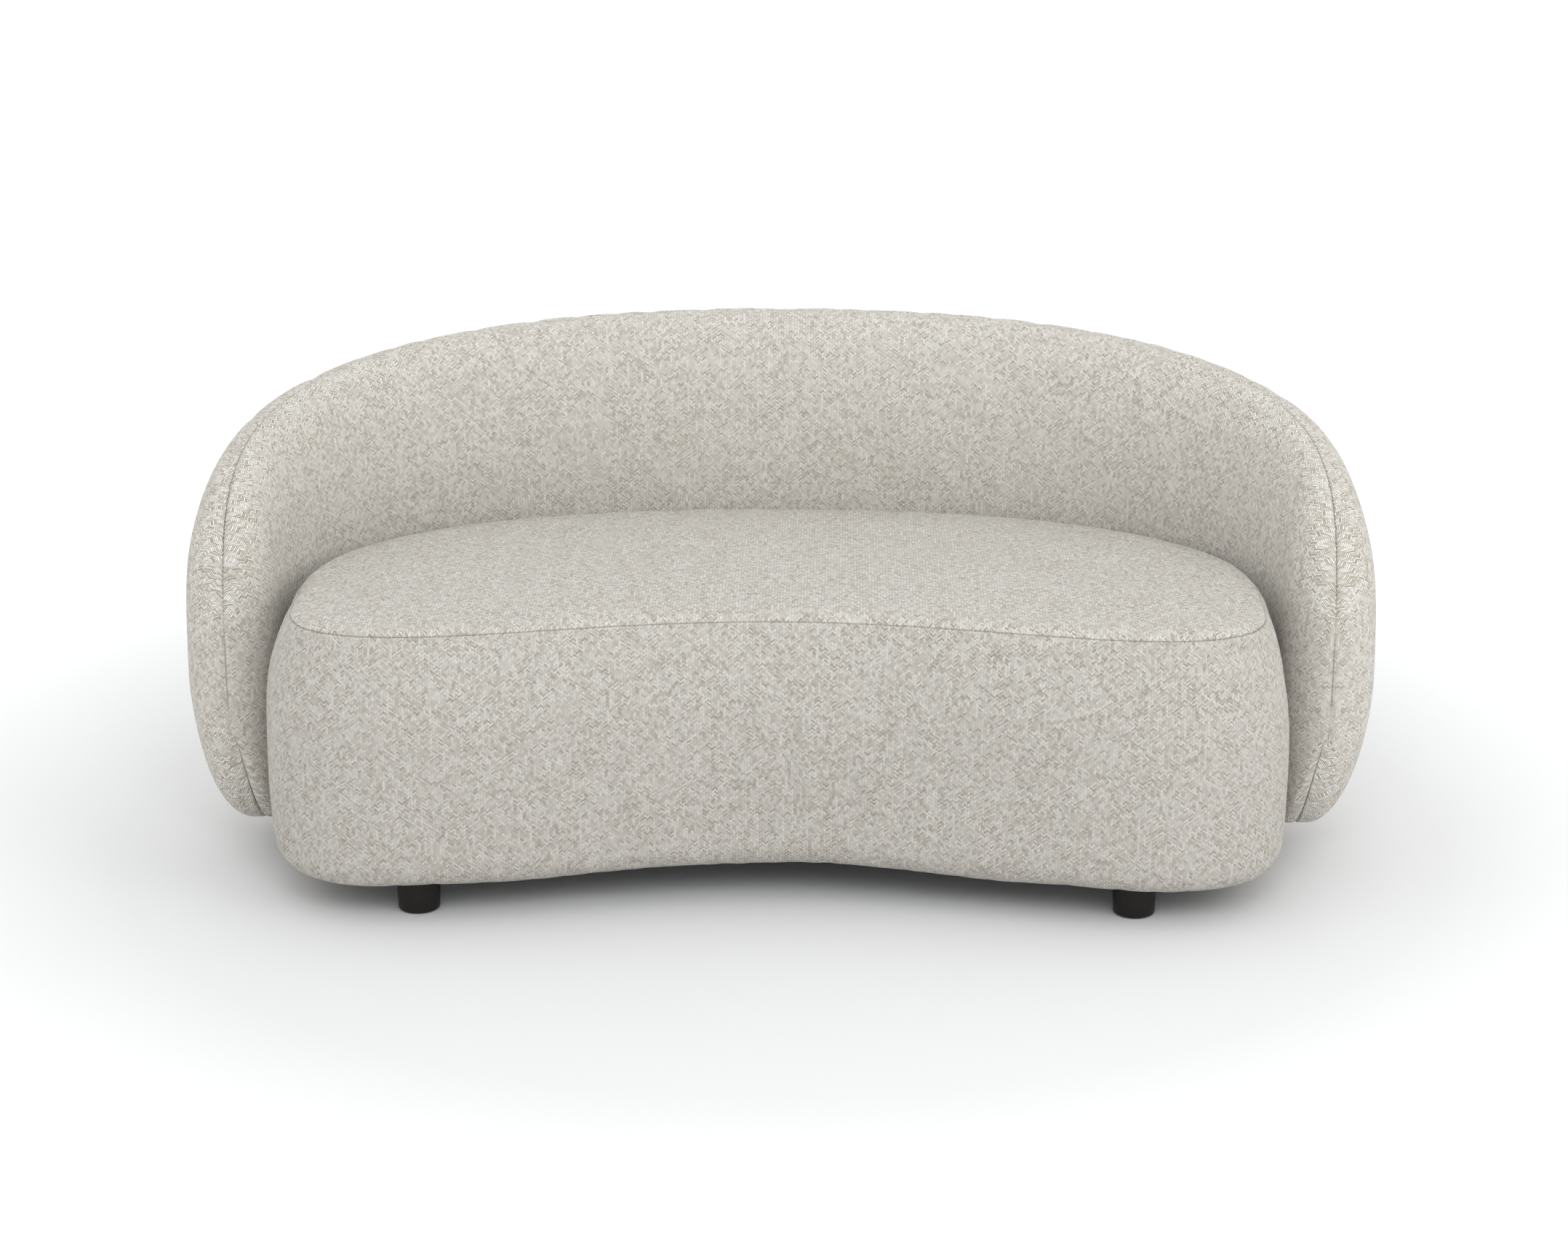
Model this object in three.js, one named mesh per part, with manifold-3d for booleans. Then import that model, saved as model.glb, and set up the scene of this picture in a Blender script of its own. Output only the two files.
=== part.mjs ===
// A curved two-seat sofa. A bean-shaped seat block sits inside a padded crescent back that runs forward
// on both sides as low arms, and the whole stands on four short round feet.
// Lengths are millimetres. +X is to the right seen from the front, the front faces -Y and +Z is up.
// The origin is on the floor, under the middle of the sofa.

import * as THREE from 'three';
import { mergeVertices } from 'three/addons/utils/BufferGeometryUtils.js';
import Module from 'manifold-3d';

const wasm = await Module();
wasm.setup();
const { lerp, clamp, degToRad } = THREE.MathUtils;

// Seat outline at its widest level, measured from the line where the seat is widest
const seatHalfWidth = 732;
const seatRearReach = 489;
const seatFrontReach = 299;
const frontDentDepth = 142;
const rearFullness = 2.34;
const frontFullness = 3.56;
const dentSharpness = 2.24;

// Seat side: a full lower belly, drawn in towards the top seam and rolled under at the bottom
const undersideHeight = 52;
const bulgeHeight = 250;
const seamHeight = 420;
const frontSeamDrawIn = 35.6;
const rearSeamDrawIn = 14;
const sideDrawInPower = 2.3;
const rearBlendPower = 0.7;
const lowerDrawIn = 5.7;
const bottomEdgeRadius = 42;
const hemWidth = 25;

// Seat top: a soft crown that rises from the seam to a ridge along the middle of the bean
const seatCrown = 18;
const crownFullness = 2.6;
const crownShoulder = 0.62;
const ridgeWidthShare = 0.55;
const ridgeSetback = 120;
const seamDip = 2;

// Back: a section that grows from the arm tips to the middle of the back
const backToSeatGap = 2;
const armExtension = 20;
const armThickness = 133.5;
const backThickness = 181.5;
const backThickening = 1.5;
const backHeight = 719;
const armTipHeight = 269;
const backUnderside = 65;
const crestRisePower = 2.71;
const crestRoundPower = 3.55;
const armTipRadius = 75;
const armUnderRadius = 89.5;
const crestLean = 15;
const leanPower = 1.5;
const upperFullness = 2.81;
const lowerFullness = 2;
const undersideFlatInner = 18;
const undersideFlatOuter = 52;

// Cloth, padding and their fits
const clothThickness = 2.5;
const seamGap = 0.45;
const clothFit = 0.5;
const fit = 0.3;
const dustClothThickness = 1;

// Seat frame: two plywood rings, posts between them, a bent skin round them and a bearer
const skinInset = 46;
const skinThickness = 4;
const skinFloorLift = 8;
const ringWidth = 75;
const ringThickness = 18;
const deckHeight = 250;
const postSize = 50;
const sidePostShare = 0.25;
const frontPostSpacing = 85;
const rearPostSpacing = 115;
const bearerWidth = 40;
const bearerHeight = 40;
const bearerBearing = 60;

// Webbing woven over the deck ring
const webbingWidth = 50;
const webbingThickness = 1.8;
const crossWebbingCount = 7;
const crossWebbingSideInset = 282;
const crossWebbingSetback = 80;
const longWebbingCount = 3;
const longWebbingStart = 40;
const longWebbingRearInset = 229;
const longWebbingSetback = 105;
const webbingRise = 18;
const webbingSlack = 4;

// Back frame: rails, ribs and thin panels
const innerPadDepth = 44;
const outerPadDepth = 22;
const topPadDepth = 30;
const frameTipInset = 15;
const frameStart = 92;
const frameLift = 12;
const panelThickness = 3.2;
const railThickness = 18;
const topRailWidth = 40;
const railSideMargin = 1;
const ribThickness = 18;
const ribCount = 8;

// Cranked steel plates that carry the back on the seat frame
const plateThickness = 4;
const plateWidth = 60;
const plateSeatReach = 110;
const plateRampStart = 30;
const plateRampEnd = 14;
const plateBackReach = 48;
const platePlaceShares = [0.13, 0.37];

// Feet: turned, slightly tapered, each held by a bolt from above and standing on a felt glide
const frontFootSideInset = 221;
const frontFootFrontInset = 136;
const rearFootSideInset = 302;
const rearFootRearInset = 83;
const footTopRadius = 31;
const footBottomRadius = 29.8;
const footEdgeRadius = 2.5;
const glideRadius = 20;
const glideThickness = 4;
const glideProudness = 1.5;
const boltRadius = 4;
const boltHeadRadius = 9;
const boltHeadHeight = 5;
const boltDepthInFoot = 28;
const boltClearance = 0.4;

// Fineness of the curved surfaces
const outlineSteps = 56;
const stationsPerBay = 3;
const turnedSides = 20;
const denseSteps = 3000;
const spreadSteps = 750;
const turnWeight = 260;
const coincidence = 0.001;

// Heights and insets that follow from the sizes above
const railInset = skinInset + skinThickness + fit;
const ringFloor = undersideHeight + clothThickness + fit;
const ringTop = ringFloor + ringThickness;
const deckFloor = deckHeight - ringThickness;
const lowWebbing = deckHeight + fit + webbingThickness / 2;
const highWebbing = lowWebbing + webbingThickness + fit;
const foamFloor = highWebbing + webbingThickness / 2 + fit;
const dustTop = undersideHeight - fit;
const dustFloor = dustTop - dustClothThickness;
const backRailFloor = backUnderside + clothThickness + fit;
const backRailTop = backRailFloor + railThickness;
const hemMiddle = (undersideFlatInner + undersideFlatOuter) / 2;

const materials = {
  cloth: [0xc9c6be, 0.95, 0],
  foam: [0xe9e3cf, 0.9, 0],
  plywood: [0xc39a66, 0.7, 0],
  board: [0x9a7b58, 0.8, 0],
  webbing: [0x3d3a36, 0.85, 0],
  dustCloth: [0x1c1c1d, 0.9, 0],
  steel: [0x8d9094, 0.35, 1],
  blackFoot: [0x17171a, 0.38, 0],
  felt: [0x6d6a66, 0.95, 0],
};

const sofa = new THREE.Group();

function add(name, geometry, materialName, placement) {
  const [color, roughness, metalness] = materials[materialName];
  const material = new THREE.MeshStandardMaterial({ color, roughness, metalness });
  const mesh = new THREE.Mesh(geometry, material);
  mesh.name = name;
  if (placement) {
    mesh.position.copy(placement.position);
    mesh.quaternion.copy(placement.quaternion);
  }
  sofa.add(mesh);
  return mesh;
}

// A closed surface through rings that each hold the same number of points. The rings either close on
// each other, like a tyre, or end in caps. A ring whose points all meet needs no cap. A bent cell is
// split along the diagonal that lies further from the middle of the sofa, so nested layers split alike.
function surfaceThrough(rings, closed) {
  const columns = rings[0].length;
  const points = rings.flat();
  const triangles = [];
  const bands = closed ? rings.length : rings.length - 1;
  for (let row = 0; row < bands; row++) {
    const next = (row + 1) % rings.length;
    for (let column = 0; column < columns; column++) {
      const beside = (column + 1) % columns;
      const here = row * columns;
      const there = next * columns;
      const cell = [here + column, here + beside, there + beside, there + column];
      triangles.push(...splitCell(points, cell));
    }
  }
  if (!closed) {
    const last = (rings.length - 1) * columns;
    for (const [a, b, c] of capTriangles(rings[0])) triangles.push([a, c, b]);
    for (const [a, b, c] of capTriangles(rings.at(-1))) triangles.push([last + a, last + b, last + c]);
  }
  return closedGeometry(points, triangles);
}

const middleOfSofa = new THREE.Vector3(0, ridgeSetback, bulgeHeight);

function splitCell(points, [a, b, c, d]) {
  const diagonal = points[a].clone().lerp(points[c], 0.5);
  const other = points[b].clone().lerp(points[d], 0.5);
  const outward = diagonal.clone().lerp(other, 0.5).sub(middleOfSofa);
  if (diagonal.sub(other).dot(outward) > 0) return [[a, b, c], [a, c, d]];
  return [[a, b, d], [b, c, d]];
}

// Triangles of a flat ring, found in the plane of the ring
function capTriangles(ring) {
  const normal = new THREE.Vector3();
  ring.forEach((point, i) => normal.add(point.clone().cross(ring[(i + 1) % ring.length])));
  if (normal.length() < coincidence) return [];
  normal.normalize();
  const level = Math.abs(normal.z) > Math.abs(normal.x);
  const across = level ? new THREE.Vector3(1, 0, 0) : new THREE.Vector3(0, 0, 1);
  across.addScaledVector(normal, -across.dot(normal)).normalize();
  const along = normal.clone().cross(across);
  const flat = ring.map((point) => new THREE.Vector2(point.dot(across), point.dot(along)));
  return THREE.ShapeUtils.triangulateShape(flat, []);
}

// Joins equal points, drops the triangles that this closes up and turns the surface outward
function closedGeometry(points, triangles) {
  const raw = new THREE.BufferGeometry().setFromPoints(points);
  raw.setIndex(triangles.flat());
  const merged = mergeVertices(raw, coincidence);
  const index = merged.getIndex();
  const at = merged.getAttribute('position');
  const corners = [0, 1, 2].map(() => new THREE.Vector3());
  const kept = [];
  let volume = 0;
  for (let i = 0; i < index.count; i += 3) {
    const ids = [0, 1, 2].map((k) => index.getX(i + k));
    if (ids[0] === ids[1] || ids[1] === ids[2] || ids[2] === ids[0]) continue;
    ids.forEach((id, k) => corners[k].fromBufferAttribute(at, id));
    volume += corners[0].dot(corners[1].clone().cross(corners[2]));
    kept.push(ids);
  }
  merged.setIndex(kept.flatMap(([a, b, c]) => (volume < 0 ? [a, c, b] : [a, b, c])));
  merged.computeVertexNormals();
  return merged;
}

function solidOf(geometry) {
  const bare = geometry.clone();
  bare.deleteAttribute('normal');
  bare.deleteAttribute('uv');
  const merged = mergeVertices(bare, coincidence);
  const vertProperties = Float32Array.from(merged.getAttribute('position').array);
  const triVerts = Uint32Array.from(merged.getIndex().array);
  return new wasm.Manifold(new wasm.Mesh({ numProp: 3, vertProperties, triVerts }));
}

// Drills upright holes, each given by its centre and radius, through a piece
function drilled(geometry, holes) {
  let solid = solidOf(geometry);
  geometry.computeBoundingBox();
  const { min, max } = geometry.boundingBox;
  for (const { x, y, radius } of holes) {
    const height = 2 * (max.z - min.z);
    const drill = new THREE.CylinderGeometry(radius, radius, height, turnedSides);
    drill.rotateX(Math.PI / 2);
    drill.translate(x, y, (max.z + min.z) / 2);
    solid = solid.subtract(solidOf(drill));
  }
  const mesh = solid.getMesh();
  const result = new THREE.BufferGeometry();
  result.setAttribute('position', new THREE.BufferAttribute(mesh.vertProperties, 3));
  result.setIndex(new THREE.BufferAttribute(mesh.triVerts, 1));
  result.computeVertexNormals();
  return result;
}

// A curve as closely spaced points that can be read at any length along it
function measuredCurve(points) {
  const reaches = [0];
  for (let i = 1; i < points.length; i++) {
    reaches.push(reaches[i - 1] + points[i].distanceTo(points[i - 1]));
  }
  const length = reaches.at(-1);
  function pointAt(reach) {
    let low = 0;
    let high = points.length - 1;
    while (high - low > 1) {
      const middle = Math.floor((low + high) / 2);
      if (reaches[middle] <= reach) low = middle;
      else high = middle;
    }
    const share = clamp((reach - reaches[low]) / (reaches[high] - reaches[low]), 0, 1);
    return points[low].clone().lerp(points[high], share);
  }
  // The direction that points out of the sofa, for a curve that runs counter-clockwise
  function outwardAt(reach) {
    const probe = length / denseSteps;
    const ahead = pointAt(Math.min(length, reach + probe));
    const step = ahead.sub(pointAt(Math.max(0, reach - probe)));
    return new THREE.Vector2(step.y, -step.x).normalize();
  }
  return { length, pointAt, outwardAt };
}

// Reaches along a curve, evenly spread but closer together where the curve turns
function spreadReaches(curve, from, to, steps) {
  const weights = [0];
  let heading = curve.outwardAt(from);
  for (let i = 1; i <= spreadSteps; i++) {
    const next = curve.outwardAt(lerp(from, to, i / spreadSteps));
    const turn = Math.acos(clamp(heading.dot(next), -1, 1));
    weights.push(weights[i - 1] + (to - from) / spreadSteps + turnWeight * turn);
    heading = next;
  }
  const reaches = [from];
  let i = 0;
  for (let step = 1; step < steps; step++) {
    const goal = (weights.at(-1) * step) / steps;
    while (weights[i] < goal) i++;
    const share = (goal - weights[i - 1]) / (weights[i] - weights[i - 1]);
    reaches.push(lerp(from, to, (i - 1 + share) / spreadSteps));
  }
  return [...reaches, to];
}

// Seat outline

function outlinePoint(angle) {
  const c = Math.cos(angle);
  const s = Math.sin(angle);
  const atRear = s >= 0;
  const power = 2 / (atRear ? rearFullness : frontFullness);
  const x = seatHalfWidth * Math.sign(c) * Math.abs(c) ** power;
  const y = (atRear ? seatRearReach : seatFrontReach) * Math.sign(s) * Math.abs(s) ** power;
  const hollow = Math.max(0, 1 - (x / seatHalfWidth) ** 2) ** dentSharpness;
  return new THREE.Vector2(x, atRear ? y : y + frontDentDepth * hollow);
}

function arcOfOutline(startAngle, endAngle) {
  const points = [];
  for (let i = 0; i <= denseSteps; i++) {
    points.push(outlinePoint(lerp(startAngle, endAngle, i / denseSteps)));
  }
  return points;
}

// The columns of the seat: where each stands on the outline, which way is out, and how far to the rear
function seatColumns() {
  const curve = measuredCurve(arcOfOutline(-Math.PI / 2, Math.PI / 2));
  const half = outlineSteps / 2;
  const right = spreadReaches(curve, 0, curve.length, half).map((reach, i) => {
    const onAxis = i === 0 || i === half;
    const point = curve.pointAt(reach);
    const out = curve.outwardAt(reach);
    if (onAxis) {
      point.x = 0;
      out.set(0, i === 0 ? -1 : 1);
    }
    const rear = clamp(point.y / seatRearReach, 0, 1) ** rearBlendPower;
    return { point, out, rear };
  });
  const left = right.slice(1, half).reverse().map(({ point, out, rear }) => ({
    point: new THREE.Vector2(-point.x, point.y),
    out: new THREE.Vector2(-out.x, out.y),
    rear,
  }));
  return [...right, ...left];
}

const columns = seatColumns();

function seatPlace(column, inset, z) {
  const { point, out } = column;
  return new THREE.Vector3(point.x - out.x * inset, point.y - out.y * inset, z);
}

function seatRing(inset, z) {
  return columns.map((column) => seatPlace(column, inset, z));
}

// Inset and height of the seat's side, from the top seam down to the hem under the seat. The padding and
// the inner face of the cloth follow the named rows but two.
const sideRows = ['seam', 'nearSeam', 'belowSeam', 'halfWayUp', 'bulge', 'belowBulge', 'wallFoot'];
sideRows.push('firstEdge', 'lastEdge', 'floor', 'hem');
const innerSideRows = sideRows.filter((name) => name !== 'nearSeam' && name !== 'belowBulge');
const aboveBulgeShares = [0.95, 0.8, 0.5, 0];
const belowBulgeShares = [0.6, 1];
const edgeAngles = [30, 60, 90].map(degToRad);

function seamDrawIn(rear) {
  return lerp(frontSeamDrawIn, rearSeamDrawIn, rear);
}

function sideProfile(rear) {
  const lower = (z) => lowerDrawIn * ((bulgeHeight - z) / (bulgeHeight - undersideHeight)) ** 2;
  const rows = [[seamDrawIn(rear) + seamDip, seamHeight - seamDip]];
  for (const share of aboveBulgeShares) {
    rows.push([seamDrawIn(rear) * share ** sideDrawInPower, lerp(bulgeHeight, seamHeight, share)]);
  }
  for (const share of belowBulgeShares) {
    const z = lerp(bulgeHeight, undersideHeight + bottomEdgeRadius, share);
    rows.push([lower(z), z]);
  }
  for (const angle of edgeAngles) {
    const z = undersideHeight + bottomEdgeRadius * (1 - Math.sin(angle));
    rows.push([lower(z) + bottomEdgeRadius * (1 - Math.cos(angle)), z]);
  }
  rows.push([rows.at(-1)[0] + hemWidth, undersideHeight]);
  return rows;
}

// The side profile moved inward by a distance. At the seam it moves along the mitre of the two cloths.
const mitre = Math.SQRT1_2;

function insetProfile(rear, distance) {
  const rows = sideProfile(rear);
  return rows.map(([inset, z], i) => {
    if (i === 0) return [inset + distance * mitre, z - distance * mitre];
    const [insetBefore, zBefore] = rows[i - 1];
    const [insetAfter, zAfter] = rows[Math.min(i + 1, rows.length - 1)];
    const normal = new THREE.Vector2(zBefore - zAfter, insetAfter - insetBefore).normalize();
    return [inset + normal.x * distance, z + normal.y * distance];
  });
}

// How far in the moved profile lies at one height
function insetAtHeight(rear, distance, z) {
  const rows = insetProfile(rear, distance);
  for (let i = 1; i < rows.length; i++) {
    const [insetLow, zLow] = rows[i];
    const [insetHigh, zHigh] = rows[i - 1];
    if (z >= zLow) return lerp(insetLow, insetHigh, (z - zLow) / (zHigh - zLow));
  }
  return rows.at(-1)[0];
}

function profileRings(distance, rowNames) {
  const profiles = columns.map(({ rear }) => insetProfile(rear, distance));
  return rowNames.map((name) => {
    const row = sideRows.indexOf(name);
    return columns.map((column, i) => seatPlace(column, ...profiles[i][row]));
  });
}

// The crown: each column runs from the seam to the ridge
const crownStartShare = 0.025;
const crownShares = [0.08, 0.2, 0.45, 0.8];

function crownRing(share, drop) {
  return columns.map((column) => {
    const edge = seatPlace(column, seamDrawIn(column.rear), seamHeight);
    const rise = (1 - (1 - share) ** crownFullness) ** crownShoulder;
    const ridge = new THREE.Vector3(edge.x * ridgeWidthShare, ridgeSetback, seamHeight);
    const place = edge.lerp(ridge, share);
    place.z += seatCrown * rise - drop;
    return place;
  });
}

const frontFootX = seatHalfWidth - frontFootSideInset;
const frontFootY = frontFootFrontInset - seatFrontReach;
const rearFootX = seatHalfWidth - rearFootSideInset;
const rearFootY = rearOutlineY(rearFootX) - rearFootRearInset;
const footPlaces = [
  { name: 'front_left', x: -frontFootX, y: frontFootY },
  { name: 'front_right', x: frontFootX, y: frontFootY },
  { name: 'rear_left', x: -rearFootX, y: rearFootY },
  { name: 'rear_right', x: rearFootX, y: rearFootY },
];
const boltHoles = footPlaces.map(({ x, y }) => ({ x, y, radius: boltRadius + boltClearance }));

function seatCovers() {
  const inside = profileRings(clothThickness, innerSideRows.toReversed());
  const side = [...profileRings(0, sideRows), ...inside];
  add('seat_side_cover', drilled(surfaceThrough(side, true), boltHoles), 'cloth');

  const lift = new THREE.Vector3(0, 0, seamGap);
  const raised = (ring) => ring.map((point) => point.clone().add(lift));
  const seamOuter = raised(profileRings(0, ['seam'])[0]);
  const seamInner = raised(profileRings(clothThickness, ['seam'])[0]);
  const top = [
    ...crownShares.toReversed().map((share) => crownRing(share, clothThickness)),
    seamInner,
    seamOuter,
    ...[crownStartShare, ...crownShares].map((share) => crownRing(share, 0)),
  ];
  add('seat_top_cover', surfaceThrough(top, false), 'cloth');
}

function seatPadding() {
  const depth = clothThickness + clothFit;
  const levelRing = (z) => {
    return columns.map((column) => seatPlace(column, insetAtHeight(column.rear, depth, z), z));
  };
  const seamRing = profileRings(depth + seamDip, ['seam'])[0];
  const block = [
    levelRing(foamFloor),
    ...profileRings(depth, ['halfWayUp', 'belowSeam']),
    seamRing,
    ...crownShares.map((share) => crownRing(share, depth)),
  ];
  add('seat_foam_block', surfaceThrough(block, false), 'foam');

  const sideFloor = undersideHeight + skinFloorLift;
  const sideTop = foamFloor - fit;
  const padInset = skinInset - fit;
  const belly = profileRings(depth, ['bulge', 'wallFoot', 'firstEdge']);
  const outside = [levelRing(sideTop), ...belly, levelRing(sideFloor)];
  const pad = [...outside, seatRing(padInset, sideFloor), seatRing(padInset, sideTop)];
  add('seat_side_foam', surfaceThrough(pad, true), 'foam');
}

// A flat or upright band round the seat, between two insets and two heights
function seatBand(outerInset, innerInset, low, high) {
  const rings = [seatRing(outerInset, low), seatRing(outerInset, high)];
  rings.push(seatRing(innerInset, high), seatRing(innerInset, low));
  return surfaceThrough(rings, true);
}

// Which of some places is nearest to a distance across the seat
function nearestAcross(places, x) {
  const gaps = places.map((place) => Math.abs(place.x - x));
  return gaps.indexOf(Math.min(...gaps));
}

function seatFrame() {
  const ringInner = railInset + ringWidth;
  const bottomRing = seatBand(railInset, ringInner, ringFloor, ringTop);
  add('seat_bottom_ring', drilled(bottomRing, boltHoles), 'plywood');
  add('seat_deck_ring', seatBand(railInset, ringInner, deckFloor, deckHeight), 'plywood');
  const skinFloor = undersideHeight + skinFloorLift;
  add('seat_bent_skin', seatBand(skinInset, skinInset + skinThickness, skinFloor, deckHeight), 'board');

  const postHeight = deckFloor - ringTop - 2 * fit;
  const middles = columns.map((column) => {
    return seatPlace(column, (railInset + ringInner) / 2, (deckFloor + ringTop) / 2);
  });
  // On the right side the columns run from the front middle, over the side, to the rear middle
  const side = Math.round(sidePostShare * outlineSteps);
  const rearMiddle = outlineSteps / 2;
  const frontPost = nearestAcross(middles.slice(0, side), frontFootX - frontPostSpacing);
  const rearPost = side + nearestAcross(middles.slice(side, rearMiddle), rearFootX - rearPostSpacing);
  const places = [frontPost, side, rearPost];
  const posts = [...places, ...places.map((place) => outlineSteps - place)];
  posts.forEach((place, i) => {
    const post = new THREE.BoxGeometry(postSize, postSize, postHeight);
    post.rotateZ(columns[place].out.angle());
    post.translate(middles[place].x, middles[place].y, middles[place].z);
    add(`seat_post_${i + 1}`, post, 'plywood');
  });

  const front = frontDentDepth - seatFrontReach + bearerBearing;
  const rear = seatRearReach - bearerBearing;
  const bearer = new THREE.BoxGeometry(bearerWidth, rear - front, bearerHeight);
  bearer.translate(0, (front + rear) / 2, ringTop + fit + bearerHeight / 2);
  add('seat_centre_bearer', bearer, 'plywood');

  const dustInset = skinInset + skinThickness;
  const dust = [seatRing(dustInset, dustFloor), seatRing(dustInset, dustTop)];
  add('seat_dust_cloth', drilled(surfaceThrough(dust, false), boltHoles), 'dustCloth');
}

// A strap that passes alternately over and under the straps that it meets
function wovenStrap(start, end, crossings, firstOver) {
  const clear = (webbingWidth + webbingRise) / 2 + webbingSlack;
  const line = [[start, lowWebbing]];
  let level = lowWebbing;
  const changeTo = (goal, middle) => {
    if (goal === level) return;
    line.push([middle - webbingRise / 2, level], [middle + webbingRise / 2, goal]);
    level = goal;
  };
  crossings.forEach((crossing, i) => {
    const over = (i % 2 === 0) === firstOver;
    const middle = i === 0 ? crossing - clear : (crossings[i - 1] + crossing) / 2;
    changeTo(over ? highWebbing : lowWebbing, middle);
  });
  changeTo(lowWebbing, crossings.at(-1) + clear);
  line.push([end, lowWebbing]);
  const top = line.map(([along, z]) => new THREE.Vector2(along, z + webbingThickness / 2));
  const bottom = line.map(([along, z]) => new THREE.Vector2(along, z - webbingThickness / 2)).reverse();
  const strap = new THREE.Shape([...top, ...bottom]);
  const geometry = new THREE.ExtrudeGeometry(strap, { depth: webbingWidth, bevelEnabled: false });
  geometry.translate(0, 0, -webbingWidth / 2);
  return geometry.rotateX(Math.PI / 2);
}

function rearOutlineY(x) {
  return seatRearReach * (1 - Math.abs(x / seatHalfWidth) ** rearFullness) ** (1 / rearFullness);
}

function rearOutlineX(y) {
  return seatHalfWidth * (1 - (y / seatRearReach) ** rearFullness) ** (1 / rearFullness);
}

function frontOutlineY(x) {
  const share = Math.abs(x / seatHalfWidth);
  const bow = seatFrontReach * (1 - share ** frontFullness) ** (1 / frontFullness);
  return frontDentDepth * (1 - share ** 2) ** dentSharpness - bow;
}

function evenPlaces(first, last, count) {
  return [...Array(count).keys()].map((i) => lerp(first, last, i / (count - 1)));
}

function webbing() {
  const lastCross = seatHalfWidth - crossWebbingSideInset;
  const crossPlaces = evenPlaces(-lastCross, lastCross, crossWebbingCount);
  const lastLong = seatRearReach - longWebbingRearInset;
  const longPlaces = evenPlaces(longWebbingStart, lastLong, longWebbingCount);
  crossPlaces.forEach((x, i) => {
    const start = frontOutlineY(x) + crossWebbingSetback;
    const end = rearOutlineY(x) - crossWebbingSetback;
    const strap = wovenStrap(start, end, longPlaces, i % 2 === 0);
    strap.rotateZ(Math.PI / 2);
    strap.translate(x, 0, 0);
    add(`webbing_cross_${i + 1}`, strap, 'webbing');
  });
  longPlaces.forEach((y, i) => {
    const end = rearOutlineX(y) - longWebbingSetback;
    const strap = wovenStrap(-end, end, crossPlaces, i % 2 === 1);
    strap.translate(0, y, 0);
    add(`webbing_long_${i + 1}`, strap, 'webbing');
  });
}

// The back follows the rear of the seat from one arm tip to the other

function backPath() {
  const side = seatHalfWidth + backToSeatGap;
  const rear = seatRearReach + backToSeatGap;
  const points = [new THREE.Vector2(side, -armExtension)];
  for (let i = 0; i <= denseSteps; i++) {
    const angle = (Math.PI * i) / denseSteps;
    const power = 2 / rearFullness;
    const c = Math.cos(angle);
    const x = side * Math.sign(c) * Math.abs(c) ** power;
    points.push(new THREE.Vector2(x, rear * Math.sin(angle) ** power));
  }
  points.at(-1).set(-side, 0);
  points.push(new THREE.Vector2(-side, -armExtension));
  return measuredCurve(points);
}

const path = backPath();
const halfPath = path.length / 2;

// Layers of the back, each given by how far it lies inside the outer surface on every side
const outerSkin = { tip: 0, inner: 0, outer: 0, top: 0, bottom: 0 };
const evenLayer = (depth) => ({ tip: depth, inner: depth, outer: depth, top: depth, bottom: depth });
const clothLayer = evenLayer(clothThickness);
const foamLayer = evenLayer(clothThickness + clothFit);
const panelStack = panelThickness + 2 * fit;
const frameLayer = {
  tip: frameTipInset,
  inner: innerPadDepth + panelStack,
  outer: outerPadDepth + panelStack,
  top: topPadDepth,
  bottom: clothThickness + frameLift,
};

// Sizes of the back's section at a distance from the arm tip. Side places run outward from the path.
function sectionAt(tip, layer) {
  const past = tip - layer.tip < coincidence ? 0 : tip - layer.tip;
  const along = clamp(past / (halfPath - layer.tip), 0, 1);
  const rise = (1 - (1 - along) ** crestRisePower) ** (1 / crestRoundPower);
  const crest = armTipHeight + (backHeight - layer.top - armTipHeight) * rise;
  const under = clamp(past / armUnderRadius, 0, 1);
  const drop = armTipHeight - backUnderside - layer.bottom;
  const floor = armTipHeight - drop * Math.sqrt(1 - (1 - under) ** 2);
  const open = clamp(past / (armTipRadius - layer.tip), 0, 1);
  const spread = Math.sqrt(1 - (1 - open) ** 2);
  const share = clamp(tip / halfPath, 0, 1);
  const thickness = lerp(armThickness, backThickness, share ** backThickening);
  const centre = thickness / 2;
  return {
    crest,
    floor,
    middle: (crest + floor) / 2,
    halfHeight: (crest - floor) / 2,
    centre,
    lean: crestLean * share * spread,
    inner: (centre - layer.inner) * spread,
    outer: (centre - layer.outer) * spread,
    flatInner: lerp(centre, undersideFlatInner, spread),
    flatOuter: lerp(centre, undersideFlatOuter, spread),
    hem: lerp(centre, hemMiddle, spread),
  };
}

// A point of the section, by the turn from the outer side (0) over the crest (90) to the inner side
function sectionPoint(section, turn) {
  const c = Math.cos(degToRad(turn));
  const s = Math.sin(degToRad(turn));
  const upper = turn >= 0 && turn <= 180;
  const power = 2 / (upper ? upperFullness : lowerFullness);
  const acrossShare = Math.sign(c) * Math.abs(c) ** power;
  const upShare = Math.sign(s) * Math.abs(s) ** power;
  const z = section.middle + section.halfHeight * upShare;
  const inward = turn > 90 && turn <= 270;
  let across;
  if (upper) {
    const half = inward ? section.inner : section.outer;
    across = section.centre + section.lean * Math.max(upShare, 0) ** leanPower + half * acrossShare;
  } else if (inward) {
    across = section.flatInner + (section.flatInner - section.centre + section.inner) * acrossShare;
  } else {
    across = section.flatOuter + (section.centre + section.outer - section.flatOuter) * acrossShare;
  }
  return [across, z];
}

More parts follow.
